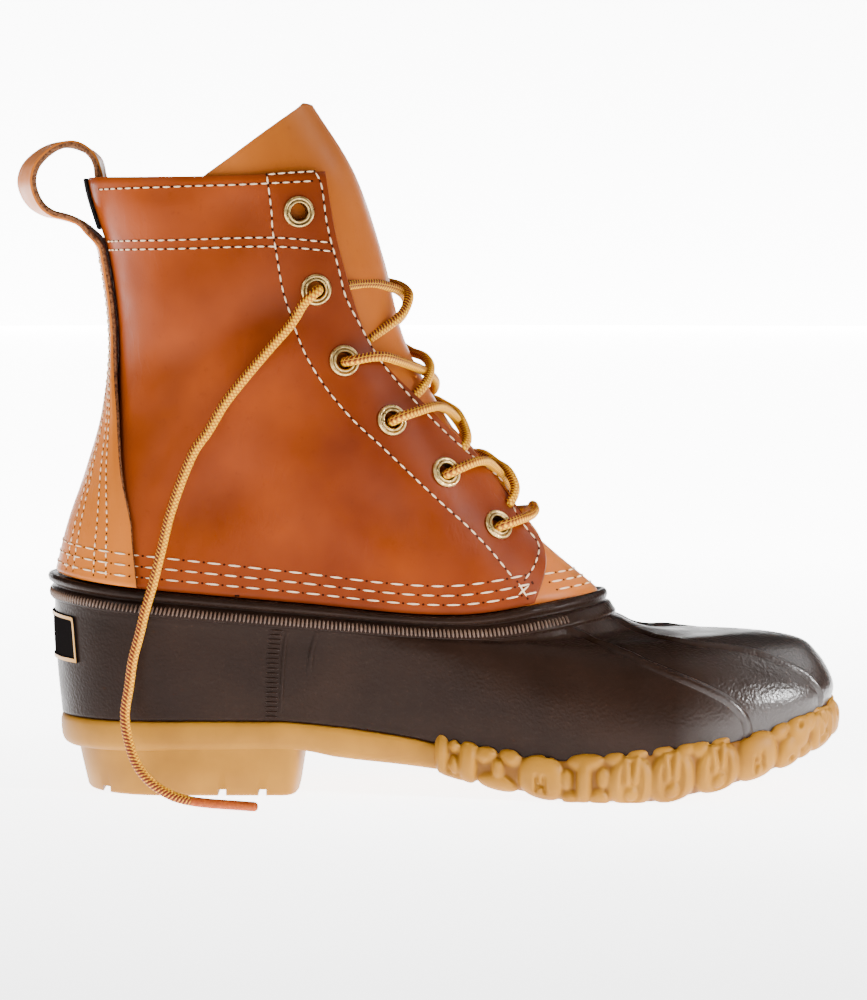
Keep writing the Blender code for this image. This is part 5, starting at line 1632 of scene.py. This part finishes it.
# Routes over the tongue, in metres, drawn from the near side or from the far side
CROSSINGS = (
    (
        (0.0553, -0.0306, 0.1870), (0.0595, -0.0250, 0.1876),
        (0.0664, -0.0170, 0.1876), (0.0729, -0.0080, 0.1860), (0.0766, 0.0000, 0.1836),
        (0.0780, 0.0080, 0.1800), (0.0759, 0.0150, 0.1751), (0.0716, 0.0220, 0.1712),
        (0.0669, 0.0240, 0.1685), (0.0640, 0.0255, 0.1671),
    ),
    (
        (0.0553, 0.0306, 0.1870), (0.0595, 0.0250, 0.1877),
        (0.0668, 0.0170, 0.1880), (0.0735, 0.0080, 0.1871), (0.0773, 0.0010, 0.1854),
        (0.0788, -0.0050, 0.1826), (0.0770, -0.0110, 0.1775), (0.0730, -0.0160, 0.1736),
        (0.0665, -0.0215, 0.1691), (0.0636, -0.0240, 0.1671),
    ),
    (
        (0.0553, -0.0310, 0.1595), (0.0559, -0.0350, 0.1598), (0.0576, -0.0375, 0.1601),
        (0.0602, -0.0380, 0.1606), (0.0652, -0.0360, 0.1615), (0.0699, -0.0325, 0.1615),
        (0.0742, -0.0270, 0.1601), (0.0785, -0.0200, 0.1583), (0.0825, -0.0120, 0.1564),
        (0.0862, -0.0040, 0.1540), (0.0885, 0.0040, 0.1507), (0.0873, 0.0120, 0.1470),
        (0.0822, 0.0190, 0.1466), (0.0789, 0.0215, 0.1447),
    ),
    (
        (0.0553, 0.0310, 0.1595), (0.0559, 0.0350, 0.1598), (0.0576, 0.0375, 0.1601),
        (0.0602, 0.0380, 0.1608), (0.0652, 0.0360, 0.1622), (0.0699, 0.0320, 0.1632),
        (0.0753, 0.0220, 0.1635), (0.0798, 0.0110, 0.1616), (0.0844, 0.0020, 0.1601),
        (0.0866, -0.0040, 0.1570), (0.0859, -0.0110, 0.1528), (0.0837, -0.0160, 0.1494),
        (0.0811, -0.0190, 0.1468), (0.0786, -0.0208, 0.1446),
    ),
    (
        (0.0724, -0.0280, 0.1376), (0.0730, -0.0325, 0.1380), (0.0746, -0.0345, 0.1389),
        (0.0775, -0.0345, 0.1401), (0.0823, -0.0315, 0.1416), (0.0870, -0.0260, 0.1428),
        (0.0903, -0.0190, 0.1427), (0.0936, -0.0110, 0.1406), (0.0966, -0.0030, 0.1369),
        (0.0989, 0.0050, 0.1327), (0.1001, 0.0115, 0.1285), (0.0987, 0.0155, 0.1277),
        (0.0961, 0.0188, 0.1262),
    ),
    (
        (0.0724, 0.0280, 0.1376), (0.0730, 0.0325, 0.1380), (0.0746, 0.0345, 0.1389),
        (0.0775, 0.0345, 0.1401), (0.0823, 0.0310, 0.1423), (0.0874, 0.0220, 0.1435),
        (0.0926, 0.0120, 0.1415), (0.0963, 0.0040, 0.1395), (0.0985, -0.0020, 0.1364),
        (0.0999, -0.0070, 0.1330), (0.1003, -0.0115, 0.1299), (0.0991, -0.0148, 0.1276),
        (0.0978, -0.0160, 0.1266),
    ),
    (
        (0.0921, -0.0240, 0.1176), (0.0926, -0.0285, 0.1182), (0.0943, -0.0305, 0.1191),
        (0.0968, -0.0300, 0.1203), (0.1012, -0.0270, 0.1220), (0.1049, -0.0220, 0.1228),
        (0.1076, -0.0150, 0.1221), (0.1107, -0.0070, 0.1192), (0.1138, 0.0000, 0.1150),
        (0.1165, 0.0070, 0.1108), (0.1176, 0.0115, 0.1089), (0.1164, 0.0140, 0.1066),
        (0.1137, 0.0158, 0.1051),
    ),
    (
        (0.0921, 0.0240, 0.1176), (0.0926, 0.0285, 0.1182), (0.0943, 0.0305, 0.1191),
        (0.0968, 0.0300, 0.1203), (0.1012, 0.0270, 0.1223), (0.1065, 0.0170, 0.1230),
        (0.1116, 0.0080, 0.1200), (0.1149, 0.0010, 0.1183), (0.1170, -0.0040, 0.1157),
        (0.1182, -0.0080, 0.1122), (0.1176, -0.0112, 0.1092), (0.1161, -0.0135, 0.1069),
        (0.1150, -0.0143, 0.1061),
    ),
    (
        (0.1112, -0.0200, 0.0976), (0.1117, -0.0245, 0.0985), (0.1133, -0.0265, 0.0994),
        (0.1159, -0.0260, 0.1002), (0.1200, -0.0220, 0.1014), (0.1238, -0.0150, 0.1023),
        (0.1255, -0.0080, 0.1037), (0.1249, 0.0000, 0.1048), (0.1255, 0.0080, 0.1037),
        (0.1238, 0.0150, 0.1023), (0.1200, 0.0220, 0.1014), (0.1159, 0.0260, 0.1002),
        (0.1133, 0.0265, 0.0994), (0.1117, 0.0245, 0.0985), (0.1112, 0.0200, 0.0976),
    ),
)

crossing_pieces = [braided(f"crossing_{k}", route, braid)[0] for k, route in enumerate(CROSSINGS)]
lacing = merged("lacing", crossing_pieces)
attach(lacing, "root")
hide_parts("lace_crossings")

# Floor and light
# A pale floor that runs back to a bright low wall, as on a white set, under soft lamps: from the
# heel's side, from behind the toe and from overhead, with a small one low beside the toe. The
# floor is brighter behind the boot.
FLOOR_HALF = 7
WALL_DISTANCE = 6
WALL_HEIGHT = 0.9
WALL_STATIONS = 49

floor_corners = [(FLOOR_HALF * x, FLOOR_HALF * y, 0) for x, y in ((-1, -1), (1, -1), (1, 1), (-1, 1))]
floor_mesh = bpy.data.meshes.new("floor")
floor_mesh.from_pydata(floor_corners, [], [(0, 1, 2, 3)])
floor = put_in_scene("floor", floor_mesh)
white_floor, floor_tree, floor_shader = new_finish(
    "white_floor", Roughness=0.8, Base_Color=(0.95, 0.95, 0.95, 1), Specular_IOR_Level=0.2,
    Emission_Color=(1, 1, 1, 1),
)
floor_places = node(floor_tree, "ShaderNodeSeparateXYZ", {0: object_place(floor_tree)})
depth_glow = spread(floor_tree, floor_places.outputs["Y"], -0.4, 1.0, 3.8, 11.5)
beside = math_node(floor_tree, "ABSOLUTE", floor_places.outputs["X"])
glow = math_node(floor_tree, "MULTIPLY", depth_glow, spread(floor_tree, beside, 0.9, 2.6, 1.0, 0.2))
floor_tree.links.new(glow, floor_shader.inputs["Emission Strength"])
floor_mesh.materials.append(white_floor)

wall_turn = np.linspace(0.36, 0.64, WALL_STATIONS) * np.pi
wall_ring = WALL_DISTANCE * np.stack([np.cos(wall_turn), np.sin(wall_turn), 0 * wall_turn], axis=1)
white_wall = new_finish("white_wall", Emission_Color=(1, 1, 1, 1), Emission_Strength=6.5)[0]
wall_points = np.stack([wall_ring, wall_ring + (0, 0, WALL_HEIGHT)])
wall = mesh_piece("low_white_wall", wall_points, grid_faces(2, WALL_STATIONS), white_wall)


def soft_lamp(name, place, aim, size, power):
    lamp = bpy.data.lights.new(name, "AREA")
    lamp.shape = "RECTANGLE"
    lamp.size, lamp.size_y = size
    lamp.energy = power
    made = put_in_scene(name, lamp)
    made.location = place
    made.rotation_euler = (Vector(aim) - Vector(place)).to_track_quat("-Z", "Y").to_euler()
    return made


soft_lamp("heel_side_lamp", (-1.0, -1.2, 1.0), (0.03, 0, 0.13), (0.5, 0.5), 13)
soft_lamp("rim_lamp", (0.9, 0.35, 0.9), (0.15, 0, 0.06), (0.6, 0.6), 5)
toe_side_lamp = soft_lamp("toe_side_lamp", (1.15, -0.58, 0.44), (0.213, -0.04, 0.035), (0.2, 0.2), 0.5)
toe_side_lamp.data.spread = math.radians(16)
soft_lamp("top_lamp", (0.1, -0.3, 1.7), (0.1, 0, 0.05), (1.2, 0.8), 6)

world = bpy.data.worlds.new("studio")
bpy.context.scene.world = world
world.use_nodes = True
world.node_tree.nodes["Background"].inputs["Color"].default_value = (1, 1, 1, 1)
world.node_tree.nodes["Background"].inputs["Strength"].default_value = 0.12
